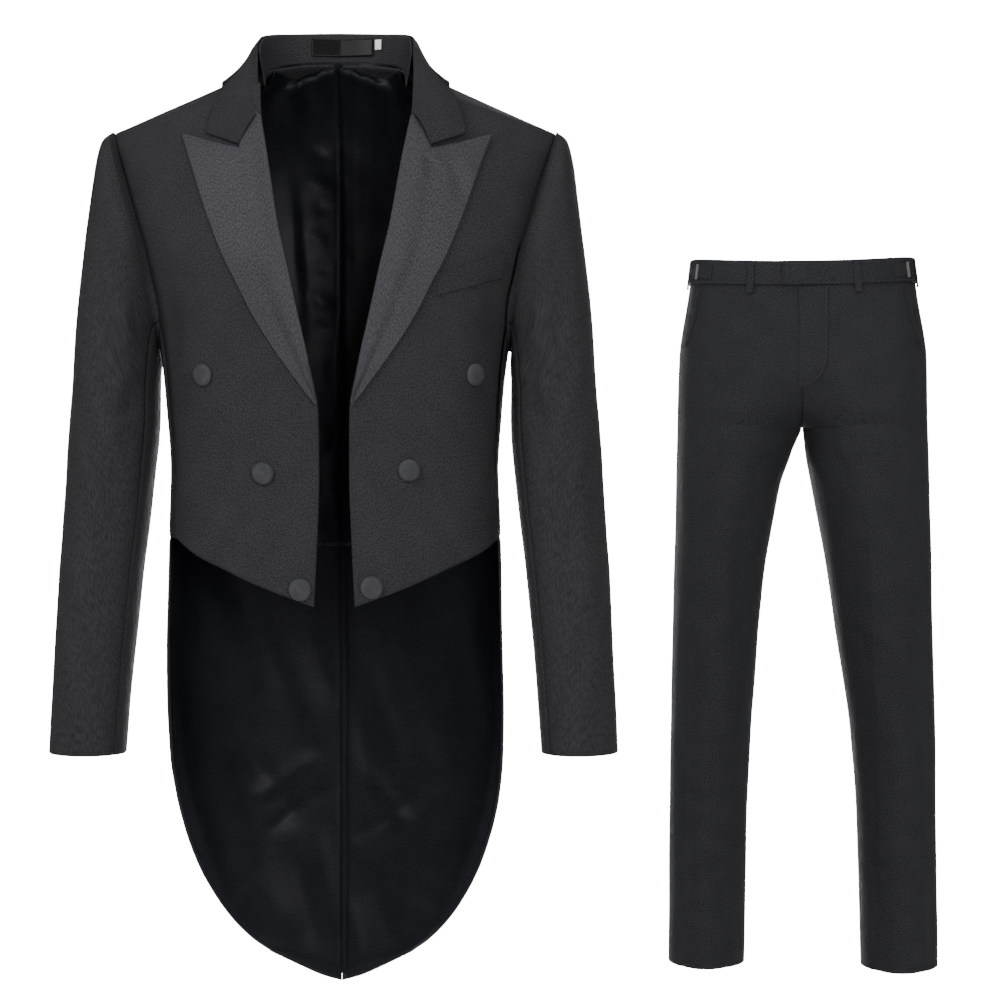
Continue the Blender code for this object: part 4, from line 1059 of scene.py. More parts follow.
def make_sleeves():
    """Two-piece sleeves: the top sleeve in front and outside, the under sleeve behind."""
    columns = 100
    grid = sleeve_grid(126, columns)
    out = grid_outward(grid, True)
    middle = grid.mean(axis=1, keepdims=True)
    out *= np.sign(((grid - middle) * out).sum())
    fore_seam, hind_seam = 40, 75  # columns of the two seams
    cuts = {
        "top": [c % columns for c in range(hind_seam, columns + fore_seam + 1)],
        "under": list(range(fore_seam, hind_seam + 1)),
    }
    head = grid[0] - (grid[1] - grid[0]) * 0.02
    within = sleeve_loop(np.linspace(0, 360, columns, endpoint=False))
    deep = body_outward(within) * TURNED_IN
    turned = [within * (1 - t) + head * t - deep * (1 - t) for t in (0.0, 0.5)]
    grid = np.concatenate([np.stack(turned), grid])
    out = np.concatenate([out[:1], out[:1], out])
    for name, side in SIDES:
        for piece, cut in cuts.items():
            surface = pull_in(grid[:, cut], [0, 0, SEAM / 2, SEAM / 2])
            inner = surface - out[:, cut] * CLOTH
            piece_name = f"coat_{piece}_sleeve_{name}"
            wall(piece_name, surface, inner, "coat cloth", (0, 0, 1, 1), side)


def strip_on_body(name, corners, columns, rows, lift, thick, finish):
    """A flat strip on the coat's front, between four corners seen from the front."""
    (a, b, c, d) = (np.array(p, float) for p in corners)
    over = np.linspace(0, 1, columns + 1)[None, :, None]
    down = np.linspace(0, 1, rows + 1)[:, None, None]
    flat = (1 - down) * ((1 - over) * a + over * b) + down * ((1 - over) * d + over * c)
    places = seen_at(flat[..., 0], flat[..., 1], False)
    body_wall(name, places, finish, thick, lift + thick, (0, 0, 0, 0))


# A button's profile, from under its rim to its top, as shares of its radius and height.
BUTTON_DOME = table(
    "reach rise",
    (0.60, -0.02), (0.86, 0.0), (0.97, 0.10), (1.0, 0.25), (0.99, 0.42), (0.94, 0.60), (0.84, 0.77),
    (0.68, 0.90), (0.46, 0.97), (0.22, 1.0),
)


def dome(name, middle, out, width, height, sides=64):
    """A covered button: cloth drawn tight over a low dome and gathered in under its rim."""
    out = out / np.linalg.norm(out)
    side = np.cross(out, (0, 0, 1.0))
    side /= np.linalg.norm(side)
    up = np.cross(side, out)
    turn = np.radians(np.arange(sides) * 360 / sides)
    spokes = np.cos(turn)[:, None] * side + np.sin(turn)[:, None] * up
    points, flat = [], []
    for share, rise in zip(BUTTON_DOME["reach"], BUTTON_DOME["rise"]):
        gather = 0.006 * np.sin(turn * 11) * np.exp(-(((rise - 0.1) / 0.25) ** 2))
        reach = width / 2 * (share + gather)
        points.append(middle + out * rise * height + spokes * reach[:, None])
        flat.append(np.stack([np.cos(turn), np.sin(turn)], axis=-1) * width / 2 * (2 - share))
    rings = len(points)
    points.append((middle + out * height)[None])
    flat.append(np.zeros((1, 2)))
    faces = []
    for r in range(rings - 1):
        for c in range(sides):
            d = (c + 1) % sides
            faces.append([r * sides + c, r * sides + d, (r + 1) * sides + d, (r + 1) * sides + c])
    faces.append(list(range(sides))[::-1])
    top = (rings - 1) * sides
    faces += [[top + c, top + (c + 1) % sides, rings * sides] for c in range(sides)]
    points = np.concatenate(points)
    if np.dot(np.cross(spokes[0], spokes[1]), out) < 0:
        faces = [f[::-1] for f in faces]
    piece = mesh_piece(f"{name}_covered", points, faces, "button cloth", np.concatenate(flat))
    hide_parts(name)
    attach(piece, "root")


BUTTONS = table(
    "x height", (145, -305), (-126, -306), (80, -402), (-65, -405), (43, -519), (-28, -521),
)
# The breast welt's corners, seen from the front.
WELT = ((113, -205), (178, -182), (173, -208), (106, -229))


def make_front_details():
    """The breast pocket's welt and the six covered buttons."""
    strip_on_body("coat_welt_pocket", WELT, 40, 16, SEAM, 1.6, "coat cloth")
    for i, (x, z) in enumerate(zip(BUTTONS["x"], BUTTONS["height"])):
        place = body(girth_at(abs(x), z, False), np.float64(z))
        out = body_outward(place)
        if x < 0:
            place, out = mirrored(place), mirrored(out)
        dome(f"coat_button_{i + 1}", place + out * 0.5, out, BUTTON, 6.0)


def stand_face(x, z):
    """A point on the stand's inner face, at the back of the neck."""
    rows = np.linspace(len(COLLAR["fold_x"]) - 1, BEHIND_NECK, 60)
    row = np.interp(np.abs(x), column(COLLAR, "fold_x", rows), rows)
    fold_y, fold_z = column(COLLAR, "fold_y", row), column(COLLAR, "fold_z", row)
    share = (fold_z - z) / STAND_HEIGHT
    face = fold_y * (1 - STAND_LEAN * share) - 1.15 * CLOTH - 0.0012 * x**2
    return np.stack([x, face, z + 0 * x], axis=-1)


def make_neck_ribbon():
    """The blank ribbon and blank tab on the inside of the collar stand."""
    for name, low, high, left, right, columns, finish in (
        ("coat_neck_ribbon", 41, 60, -29, 36, 33, "ribbon"),
        ("coat_size_tab", 47, 58, 38, 45, 9, "white tab"),
    ):
        x = np.linspace(left, right, columns)
        z = np.linspace(high, low, 13)
        grid = stand_face(x[None] + 0 * z[:, None], z[:, None]) - (0, 2 * SEAM, 0)
        wall(name, grid, grid - (0, RIBBON, 0), finish)


def leg_grid(rows, columns, side):
    """A leg, drawn as the left: row 0 at the waist, columns from front middle round to back."""
    high = np.linspace(TROUSER_TOP - BAND - SEAM, FORK + FORK_ROUND, 25)
    turn = np.linspace(0, 90, 31)[1:]
    curve = FORK + FORK_ROUND * (1 - np.sin(np.radians(turn)))
    low = FORK + (LEG["height"][0] - FORK) * np.linspace(0, 1, rows + 1)[1:] ** 1.1
    z = np.concatenate([high, curve, low])
    share = np.where(z >= FORK, np.clip((FORK + FORK_ROUND - z) / FORK_ROUND, 0, 1), 1.0)
    joined = 1 - np.sqrt(np.clip(1 - share**2, 0, 1))
    s = np.linspace(0, 1, columns + 1)
    a = smooth(z, HIPS["height"], HIPS["half_width"])[:, None]
    front = smooth(z, HIPS["height"], HIPS["front"])[:, None]
    back = smooth(z, HIPS["height"], HIPS["back"])[:, None]
    middle = np.where(s[None] < 0.5, front, back)
    turn = np.pi * s[None]
    facing = np.where(s[None] < 0.5, -1, 1)
    hip_x = a * np.abs(np.sin(turn)) ** HIP_BEND
    hip_y = facing * middle * np.abs(np.cos(turn)) ** HIP_BEND
    shape = {name: smooth(z, LEG["height"], LEG[name])[:, None] for name in LEG}
    if side < 0:
        shape["inner"] = shape["inner"] + smooth(z, RIGHT_LEG["height"], RIGHT_LEG["by"])[:, None]
    across = (shape["inner"] + shape["outer"]) / 2
    peak = np.abs(np.sin(2 * turn))
    deep = shape["half_depth"] + np.where(s[None] < 0.5, 0, shape["seat"])
    pressed = shape["crease"] * np.clip(peak * 6 - 5, 0, 1)
    leg_x = across - (shape["outer"] - shape["inner"]) / 2 * np.cos(2 * turn)
    leg_y = facing * (deep * peak + pressed)
    to_crease = np.clip(np.minimum(s, 1 - s)[None] * 4, 0, 1)
    ease = to_crease**2 * (3 - 2 * to_crease)
    wide_x = np.where(to_crease < 1, across * to_crease, leg_x)
    wide_y = np.where(to_crease < 1, facing * (middle + (deep - middle) * ease), leg_y)
    change = np.clip((WIDEN_FROM - z) / (WIDEN_FROM - FORK - FORK_ROUND), 0, 1)[:, None]
    change = change**2 * (3 - 2 * change)
    hip_x = hip_x * (1 - change) + wide_x * change
    hip_y = hip_y * (1 - change) + wide_y * change
    soft = (share**2 * (3 - 2 * share))[:, None]
    weight = joined[:, None] * (1 - ease) + soft * ease
    x = hip_x * (1 - weight) + leg_x * weight
    y = hip_y * (1 - weight) + leg_y * weight
    return np.stack([x, y, z[:, None] + 0 * x], axis=-1)


def leg_outward(grid):
    """Unit directions out of the leg, level at the seams between the two legs."""
    out = grid_outward(grid, False)
    closed = np.linalg.norm(grid[:, 0] - grid[:, -1], axis=-1) < 1e-6
    for r in range(len(grid)):
        if closed[r]:
            lean = out[r, 0] + out[r, -1]
            out[r, 0] = out[r, -1] = lean / max(np.linalg.norm(lean), 1e-9)
        else:
            for end in (0, -1):
                out[r, end, 0] = 0
                out[r, end] /= max(np.linalg.norm(out[r, end]), 1e-9)
    return out


def make_trousers():
    """The legs, each of a front and a back panel."""
    columns = 96
    cut = {"front": slice(0, columns // 2 + 1), "back": slice(columns // 2, columns + 1)}
    legs = {}
    for name, side in SIDES:
        grid = leg_grid(130, columns, side)
        out = leg_outward(grid)
        out *= np.sign((out[4] * (grid[4] - (90, 0, grid[4, 0, 2]))).sum())
        for end in (0, -1):
            grid[grid[:, 0, 2] >= FORK, end, 0] = 0
        legs[name] = (grid, out)
        for piece, where in cut.items():
            gaps = (0, 0, 0, SEAM / 2) if piece == "front" else (0, 0, SEAM / 2, 0)
            surface = pull_in(grid[:, where], gaps)
            inner = surface - out[:, where] * CLOTH
            piece_name = f"trouser_{piece}_{name}"
            wall(piece_name, surface, inner, "trouser cloth", (0, 0, 1, 1), side)
    return legs


BAND_START = 4.0  # degrees from the middle, to the wearer's right, where the band starts
BAND_LAP = 3.0  # degrees that the band's front end laps over its other end
BAND_RISE = 2.9  # and how far that end lies off it
BAND_DIP = 3.0  # how far the band's top edge dips in front


def waist_ring(columns, z, lift):
    """Points round the waist at heights z, starting and ending at the front closure."""
    turn = np.radians(np.linspace(BAND_START, 360 + BAND_START + BAND_LAP, columns + 1))
    past = np.degrees(turn) - 360 - BAND_START
    lift = lift + BAND_RISE * np.clip((past + 10) / 8, 0, 1)[None]
    z = np.asarray(z, float)[:, None]
    a = smooth(z, HIPS["height"], HIPS["half_width"]) + lift
    deep = np.where(
        np.cos(turn)[None] > 0,
        smooth(z, HIPS["height"], HIPS["front"]),
        smooth(z, HIPS["height"], HIPS["back"]),
    ) + lift
    x = -a * np.sign(np.sin(turn))[None] * np.abs(np.sin(turn))[None] ** HIP_BEND
    y = -deep * np.sign(np.cos(turn))[None] * np.abs(np.cos(turn))[None] ** HIP_BEND
    dip = -BAND_DIP * np.clip(np.cos(turn), 0, 1)[None] ** 2 * (1 - (TROUSER_TOP - z) / BAND)
    return np.stack([x, y, z + dip], axis=-1)


def make_waistband():
    """The waistband, open at the front closure, with its loops and side tabs."""
    heights = np.linspace(TROUSER_TOP, TROUSER_TOP - BAND, 13)
    outer = waist_ring(200, heights, 2.4)
    inner = waist_ring(200, heights, -0.2)
    wall("trouser_waistband", outer, inner, "trouser cloth")
    for name, turn in (("1", 24), ("2", -22), ("3", 78), ("4", -78), ("5", 180)):
        make_belt_loop(f"trouser_belt_loop_{name}", turn)
    for name, side in SIDES:
        make_side_tab(name, side)


def band_place(turn, z, lift):
    """A point at a turn round the waist, 0 in front and 90 at the wearer's left."""
    t = math.radians(turn)
    a = float(smooth(z, HIPS["height"], HIPS["half_width"])) + lift
    deep = float(smooth(z, HIPS["height"], HIPS["front" if math.cos(t) > 0 else "back"])) + lift
    x = a * math.copysign(abs(math.sin(t)) ** HIP_BEND, math.sin(t))
    y = -deep * math.copysign(abs(math.cos(t)) ** HIP_BEND, math.cos(t))
    return np.array([x, y, z - BAND_DIP * max(math.cos(t), 0) ** 2])


LOOP = table("drop lift", (0.5, 3.0), (5, 3.6), (28, 3.6), (38, 3.0))  # below the band's top, off it
LOOP_TURN = 2.05  # half a loop's width, in degrees round the waist


def make_belt_loop(name, turn):
    """A flat loop: its two ends lie on the band and its middle stands a little off it."""
    outer, inner = [], []
    turns = turn + np.linspace(-LOOP_TURN, LOOP_TURN, 7)
    for drop in np.linspace(LOOP["drop"][0], LOOP["drop"][-1], 27):
        z, lift = TROUSER_TOP - drop, float(smooth(drop, LOOP["drop"], LOOP["lift"]))
        outer.append([band_place(a, z, lift + 1.6) for a in turns])
        inner.append([band_place(a, z, lift) for a in turns])
    wall(name, np.array(outer), np.array(inner), "trouser cloth")


def make_side_tab(name, side):
    """The strap of the side adjuster; its metal slide stays as the solid has it."""
    low, high = TROUSER_TOP - 23, TROUSER_TOP - 7

    def strip(lift):
        heights = np.linspace(high, low, 9)
        return np.array([[band_place(side * t, z, lift) for t in turns] for z in heights])

    turns = np.linspace(48, 70, 41)
    wall(f"trouser_side_tab_{name}", strip(4.4), strip(3.0), "trouser cloth")


# The fly's lap: how far it reaches from the middle, by height.
FLY = table("height width", (-127, 36), (-190, 36), (-235, 34), (-262, 24), (-274, 9))
POCKET_TOP = (0.345, -132.0)  # share of the way round the leg, and height
POCKET_END = (0.425, -216.0)


def on_leg(grid, out, share, z, lift):
    """A point lifted off the leg, at a share of the way round and a height."""
    rows, columns = grid.shape[:2]
    row = float(np.interp(-z, -grid[:, 0, 2], np.arange(rows)))
    place = share * (columns - 1)
    r, c = min(int(row), rows - 2), min(int(place), columns - 2)
    down, over = row - r, place - c
    point = np.zeros(3)
    for i, high in ((r, 1 - down), (r + 1, down)):
        for j, wide in ((c, 1 - over), (c + 1, over)):
            point += high * wide * (grid[i, j] + out[i, j] * lift)
    return point


def make_fly(legs):
    """The fly's lap on the wearer's left front, and the pocket welts near the side seams."""
    grid, out = legs["left"]
    quarter = (grid.shape[1] - 1) // 4 + 1
    heights = grid[:, 0, 2]
    outer, inner = [], []
    for z in np.linspace(FLY["height"][0], FLY["height"][-1], 50):
        width = float(smooth(-z, -FLY["height"], FLY["width"]))
        x = np.linspace(-5, width, 14)
        across = [np.interp(-z, -heights, grid[:, c, 0]) for c in range(quarter)]
        share = np.interp(np.abs(x), across, np.arange(quarter) / (grid.shape[1] - 1))
        for lift, lines in ((1.3, outer), (0.2, inner)):
            line = np.array([on_leg(grid, out, part, z, lift) for part in share])
            line[:, 0] = x
            lines.append(line)
    wall("trouser_fly", np.array(outer), np.array(inner), "trouser cloth")
    for name, side in SIDES:
        grid, out = legs[name]
        welt = []
        for lift in (1.2, 0.2):
            lines = []
            for t in np.linspace(0, 1, 41):
                share = POCKET_TOP[0] + (POCKET_END[0] - POCKET_TOP[0]) * t
                z = POCKET_TOP[1] + (POCKET_END[1] - POCKET_TOP[1]) * t
                steps = np.linspace(-0.012, 0.012, 5)
                lines.append([on_leg(grid, out, share + step, z, lift) for step in steps])
            welt.append(np.array(lines))
        wall(f"trouser_pocket_{name}", *welt, "trouser cloth", side=side)


def fold_table(name):
    """The folds that lie on a piece, and how uneven its cloth is."""
    if "tail_lining" in name:
        return TAIL_FOLDS, 0.55, 42.0
    if "coat_lining" in name:
        return NECK_FOLDS, 0.45, 30.0
    if "lapel" in name:
        return LAPEL_FOLDS, 0.25, 60.0
    if "sleeve" in name:
        return SLEEVE_DRAPE, 0.35, 55.0
    if name.startswith("trouser_front") or name.startswith("trouser_back"):
        return TROUSER_FOLDS, 0.40, 60.0
    if name == "trouser_fly" or "pocket" in name and name.startswith("trouser"):
        return TROUSER_FOLDS, 0.40, 60.0
    if name in ("coat_vent_strip", "coat_collar"):
        return None, 0.3, 40.0
    if "belt_loop" in name or name in ("coat_neck_ribbon", "coat_size_tab"):
        return None, 0.1, 20.0
    if "trouser" in name or name == "coat_collar_stand":
        return None, 0.15, 45.0
    return COAT_FOLDS, 0.35, 60.0


def relief(name, points):
    """How far the cloth of a piece rises, over its plain form, at each point."""
    folds, amount, scale = fold_table(name)
    rise = amount * unevenness(points, scale, 0.4 if "right" in name else 1.3)
    if folds is None:
        return rise
    front = np.clip(0.5 - points[..., 1] / 60, 0, 1)
    if "lining" in name:
        front = np.zeros_like(front)
    x, z = points[..., 0], points[..., 2]
    drawn = strokes(folds, x, z, False) * front + strokes(folds, x, z, True) * (1 - front)
    return rise + (-drawn if "lining" in name else drawn)


def group_of(name, takes, gives):
    """An empty node group with named number inputs and outputs, and its two ends."""
    tree = bpy.data.node_groups.new(name, "ShaderNodeTree")
    for label, kind, value in takes:
        socket = tree.interface.new_socket(name=label, in_out="INPUT", socket_type=kind)
        if kind == "NodeSocketFloat":
            socket.default_value = value
    for label in gives:
        tree.interface.new_socket(name=label, in_out="OUTPUT", socket_type="NodeSocketFloat")
    return tree, tree.nodes.new("NodeGroupInput"), tree.nodes.new("NodeGroupOutput")


def feed(tree, source, socket):
    """Joins a socket, or sets it to a plain number."""
    if isinstance(source, (int, float)):
        socket.default_value = source
    else:
        tree.links.new(source, socket)


def maths(tree, kind, a, b=0.0, c=None):
    """One Math node, and its result."""
    node = tree.nodes.new("ShaderNodeMath")
    node.operation = kind
    feed(tree, a, node.inputs[0])
    feed(tree, b, node.inputs[1])
    if c is not None:
        feed(tree, c, node.inputs[2])
    return node.outputs[0]


def noise_of(tree, vector, scale, detail=2.0, rough=0.5):
    """One Noise Texture, and the value it gives."""
    node = tree.nodes.new("ShaderNodeTexNoise")
    tree.links.new(vector, node.inputs["Vector"])
    feed(tree, scale, node.inputs["Scale"])
    node.inputs["Detail"].default_value = detail
    node.inputs["Roughness"].default_value = rough
    return node.outputs["Fac"]


def make_twill():
    """Weave of wool twill: slanting ribs of thread, with a slight mixture of the wool's shades and
    painted shade between the ribs.
    """
    tree, given, made = group_of("wool twill", (
        ("Vector", "NodeSocketVector", None),
        ("Ribs per metre", "NodeSocketFloat", 900.0),
        ("Mixture", "NodeSocketFloat", 0.5),
    ), ("Shade", "Height", "Nap"))
    vector, ribs, mixture = (given.outputs[i] for i in range(3))
    parts = tree.nodes.new("ShaderNodeSeparateXYZ")
    tree.links.new(vector, parts.inputs[0])
    turns = maths(tree, "MULTIPLY", ribs, 2 * math.pi)
    slant = maths(tree, "MULTIPLY_ADD", parts.outputs[0], 1.3, parts.outputs[1])
    slant = maths(tree, "MULTIPLY", slant, turns)
    across = maths(tree, "SUBTRACT", parts.outputs[0], parts.outputs[1])
    across = maths(tree, "MULTIPLY", across, turns)
    rib = maths(tree, "SINE", slant)
    thread = maths(tree, "SINE", across)
    height = maths(tree, "MULTIPLY_ADD", thread, 0.35, rib)
    fleck = noise_of(tree, vector, 620.0, 2.0, 0.8)
    cloudy = noise_of(tree, vector, 26.0, 2.0, 0.5)
    flecks = maths(tree, "MULTIPLY", maths(tree, "SUBTRACT", fleck, 0.5), 2.0)
    clouds = maths(tree, "MULTIPLY", maths(tree, "SUBTRACT", cloudy, 0.5), 0.2)
    shade = maths(tree, "MULTIPLY", maths(tree, "ADD", flecks, clouds), mixture)
    # the ribs' height lightens the colour a little: painted highlight on the ribs and painted shade
    # between them
    shade = maths(tree, "MULTIPLY_ADD", height, 0.06, shade)
    tree.links.new(maths(tree, "ADD", shade, 0.5), made.inputs["Shade"])
    tree.links.new(maths(tree, "MULTIPLY_ADD", flecks, 0.8, height), made.inputs["Height"])
    tree.links.new(cloudy, made.inputs["Nap"])
    return tree


def make_satin():
    """Satin: fine long floats of thread, all one way, that make it smooth and glossy; soft patches of
    painted crease shade and sheen vary its colour.
    """
    tree, given, made = group_of("satin floats", (
        ("Vector", "NodeSocketVector", None),
        ("Threads per metre", "NodeSocketFloat", 1500.0),
        ("Painted crease shade", "NodeSocketFloat", 0.5),
    ), ("Shade", "Height", "Gloss"))
    vector, threads, painted_crease_amount = (given.outputs[i] for i in range(3))
    parts = tree.nodes.new("ShaderNodeSeparateXYZ")
    tree.links.new(vector, parts.inputs[0])
    turns = maths(tree, "MULTIPLY", threads, 2 * math.pi)
    line = maths(tree, "SINE", maths(tree, "MULTIPLY", parts.outputs[0], turns))
    long = tree.nodes.new("ShaderNodeVectorMath")
    long.operation = "MULTIPLY"
    long.inputs[1].default_value = (1.0, 0.55, 1.0)
    tree.links.new(vector, long.inputs[0])
    slub = noise_of(tree, long.outputs[0], 700.0, 2.0, 0.8)
    soft = noise_of(tree, vector, 34.0, 3.0, 0.55)
    shade = maths(tree, "MULTIPLY_ADD", maths(tree, "SUBTRACT", slub, 0.5), 4.0, 0.5)
    # soft light and dark patches in the colour: painted crease shade and sheen
    painted_crease_shade = maths(tree, "MULTIPLY", maths(tree, "SUBTRACT", soft, 0.5), painted_crease_amount)
    tree.links.new(maths(tree, "ADD", shade, painted_crease_shade), made.inputs["Shade"])
    fine = maths(tree, "MULTIPLY", line, 0.10)
    fine = maths(tree, "MULTIPLY_ADD", maths(tree, "SUBTRACT", slub, 0.5), 0.6, fine)
    tree.links.new(fine, made.inputs["Height"])
    tree.links.new(soft, made.inputs["Gloss"])
    return tree


def new_finish(name):
    """A material, its node tree and its shader."""
    material = bpy.data.materials.new(name)
    material.use_nodes = True
    return material, material.node_tree, material.node_tree.nodes["Principled BSDF"]


def between_colours(tree, share, dark, light, socket):
    """Feeds a socket the colour at a share of the way from dark to light."""
    colour = tree.nodes.new("ShaderNodeMix")
    colour.data_type = "RGBA"
    colour.inputs[6].default_value = (*dark, 1)
    colour.inputs[7].default_value = (*light, 1)
    tree.links.new(share, colour.inputs[0])
    tree.links.new(colour.outputs[2], socket)


def between_values(tree, share, low, high, socket):
    """Feeds a socket the value at a share of the way from low to high."""
    spread = tree.nodes.new("ShaderNodeMapRange")
    spread.inputs["To Min"].default_value = low
    spread.inputs["To Max"].default_value = high
    tree.links.new(share, spread.inputs["Value"])
    tree.links.new(spread.outputs[0], socket)


def cloth_finish(name, weave, scale, dark, light, rough, bump, mix, gloss=0.1):
    """A cloth material: a weave group drives its colour, roughness and bump."""
    material, tree, shader = new_finish(name)
    uv = tree.nodes.new("ShaderNodeUVMap")
    uv.uv_map = "cloth"
    cloth = tree.nodes.new("ShaderNodeGroup")
    cloth.node_tree = weave
    tree.links.new(uv.outputs[0], cloth.inputs[0])
    cloth.inputs[1].default_value = scale
    cloth.inputs[2].default_value = mix
    between_colours(tree, cloth.outputs["Shade"], dark, light, shader.inputs["Base Color"])
    between_values(tree, cloth.outputs[2], *rough, shader.inputs["Roughness"])
    rise = tree.nodes.new("ShaderNodeBump")
    rise.inputs["Strength"].default_value = bump
    rise.inputs["Distance"].default_value = 0.0002
    tree.links.new(cloth.outputs["Height"], rise.inputs["Height"])
    tree.links.new(rise.outputs[0], shader.inputs["Normal"])
    shader.inputs["Specular IOR Level"].default_value = gloss
    return material


def thread_finish():
    """Sewing thread, a shade lighter than the cloth, with a slight sheen."""
    material, tree, shader = new_finish("thread")
    place = tree.nodes.new("ShaderNodeTexCoord")
    fleck = noise_of(tree, place.outputs["Object"], 1200.0)
    dark, light = (0.020, 0.020, 0.022), (0.045, 0.045, 0.049)
    between_colours(tree, fleck, dark, light, shader.inputs["Base Color"])
    shader.inputs["Roughness"].default_value = 0.55
    return material


def metal_finish():
    """Bright worn metal of the adjuster's slide, with fine scratches."""
    material, tree, shader = new_finish("slide metal")
    place = tree.nodes.new("ShaderNodeTexCoord")
    scratch = noise_of(tree, place.outputs["Object"], 900.0, 3.0, 0.6)
    between_values(tree, scratch, 0.22, 0.45, shader.inputs["Roughness"])
    dark, bright = (0.16, 0.16, 0.155), (0.72, 0.72, 0.70)
    between_colours(tree, scratch, dark, bright, shader.inputs["Base Color"])
    shader.inputs["Metallic"].default_value = 1.0
    return material


TWILL, SATIN = make_twill(), make_satin()
# Each cloth: its weave, threads a metre, dark and light colour, roughness, bump, mixture and gloss; for
# satin the mixture sets how strong its painted crease shade and sheen are.
CLOTHS = {
    "coat cloth":
        (TWILL, 850, (0.014, 0.0142, 0.0153), (0.041, 0.0415, 0.044), (0.80, 0.92), 0.6, 2.0),
    "trouser cloth":
        (TWILL, 850, (0.015, 0.0155, 0.0175), (0.043, 0.044, 0.049), (0.80, 0.92), 0.6, 2.0),
    "button cloth":
        (TWILL, 850, (0.018, 0.0184, 0.0197), (0.052, 0.053, 0.056), (0.5, 0.68), 0.6, 1.0, 0.4),
    "lapel satin":
        (SATIN, 1400, (0.020, 0.019, 0.023), (0.056, 0.054, 0.063), (0.44, 0.58), 0.6, 0.3),
    "lining":
        (SATIN, 2000, (0.003, 0.0033, 0.0048), (0.009, 0.0097, 0.0135), (0.32, 0.50), 0.3, 0.5),
    "ribbon":
        (SATIN, 1600, (0.004, 0.004, 0.0043), (0.010, 0.010, 0.0105), (0.26, 0.38), 0.3, 0.4),
    "white tab":
        (SATIN, 2600, (0.72, 0.72, 0.70), (0.86, 0.86, 0.84), (0.6, 0.75), 0.4, 0.3),
}
FINISHES = {name: cloth_finish(name, *made_of) for name, made_of in CLOTHS.items()}
FINISHES |= {"thread": thread_finish(), "slide metal": metal_finish()}
FACES = {}  # each cloth piece's outer face, as a grid of points


def make_stitch_row():
    """Geometry nodes: evenly stepped stitches along the edges of a line mesh."""
    tree = bpy.data.node_groups.new("row of stitches", "GeometryNodeTree")
    sockets = {}
    for label, kind in (
        ("Line", "NodeSocketGeometry"),
        ("Step", "NodeSocketFloat"),
        ("Length", "NodeSocketFloat"),
        ("Thread radius", "NodeSocketFloat"),
        ("Thread", "NodeSocketMaterial"),
    ):
        socket = tree.interface.new_socket(name=label, in_out="INPUT", socket_type=kind)
        sockets[label] = socket.identifier
    tree.interface.new_socket(name="Stitches", in_out="OUTPUT", socket_type="NodeSocketGeometry")
    given, made = tree.nodes.new("NodeGroupInput"), tree.nodes.new("NodeGroupOutput")
    curve = tree.nodes.new("GeometryNodeMeshToCurve")
    steps = tree.nodes.new("GeometryNodeResampleCurve")
    steps.mode = "LENGTH"
    thread = tree.nodes.new("GeometryNodeMeshCylinder")
    thread.inputs["Vertices"].default_value = 6
    tangent = tree.nodes.new("GeometryNodeInputTangent")
    turn = tree.nodes.new("FunctionNodeAlignRotationToVector")
    turn.axis = "Z"
    place = tree.nodes.new("GeometryNodeInstanceOnPoints")
    real = tree.nodes.new("GeometryNodeRealizeInstances")
    colour = tree.nodes.new("GeometryNodeSetMaterial")
    for source, target in (
        (given.outputs["Line"], curve.inputs[0]),
        (curve.outputs[0], steps.inputs[0]),
        (given.outputs["Step"], steps.inputs["Length"]),
        (given.outputs["Length"], thread.inputs["Depth"]),
        (given.outputs["Thread radius"], thread.inputs["Radius"]),
        (steps.outputs[0], place.inputs["Points"]),
        (thread.outputs[0], place.inputs["Instance"]),
        (tangent.outputs[0], turn.inputs["Vector"]),
        (turn.outputs[0], place.inputs["Rotation"]),
        (place.outputs[0], real.inputs[0]),
        (real.outputs[0], colour.inputs["Geometry"]),
        (given.outputs["Thread"], colour.inputs["Material"]),
        (colour.outputs[0], made.inputs[0]),
    ):
        tree.links.new(source, target)
    return tree, sockets


STITCH_ROWS = (  # cloth piece, then the places of the row on its grid, as row and column
    ("trouser_fly", ((1, 12), (42, 12), (46, 10), (48, 6), (48.5, 2))),
    ("trouser_waistband", ((11, 4), (11, 192))),
    ("trouser_pocket_left", ((1, 3), (39, 3))),
    ("trouser_pocket_right", ((1, 3), (39, 3))),
    ("trouser_belt_loop_1", ((23.5, 1), (23.5, 5))),
    ("trouser_belt_loop_2", ((23.5, 1), (23.5, 5))),
    ("trouser_belt_loop_3", ((23.5, 1), (23.5, 5))),
    ("trouser_belt_loop_4", ((23.5, 1), (23.5, 5))),
    ("trouser_belt_loop_5", ((23.5, 1), (23.5, 5))),
    ("coat_lapel_left", ((3, 38.9), (80, 38.9))),
    ("coat_lapel_right", ((3, 38.9), (80, 38.9))),
    ("coat_tail_lining_left", ((4, 47), (97, 47))),
    ("coat_tail_lining_right", ((4, 47), (97, 47))),
)


STITCH = {"Step": 0.0034, "Length": 0.0022, "Thread radius": 0.00022}  # metres


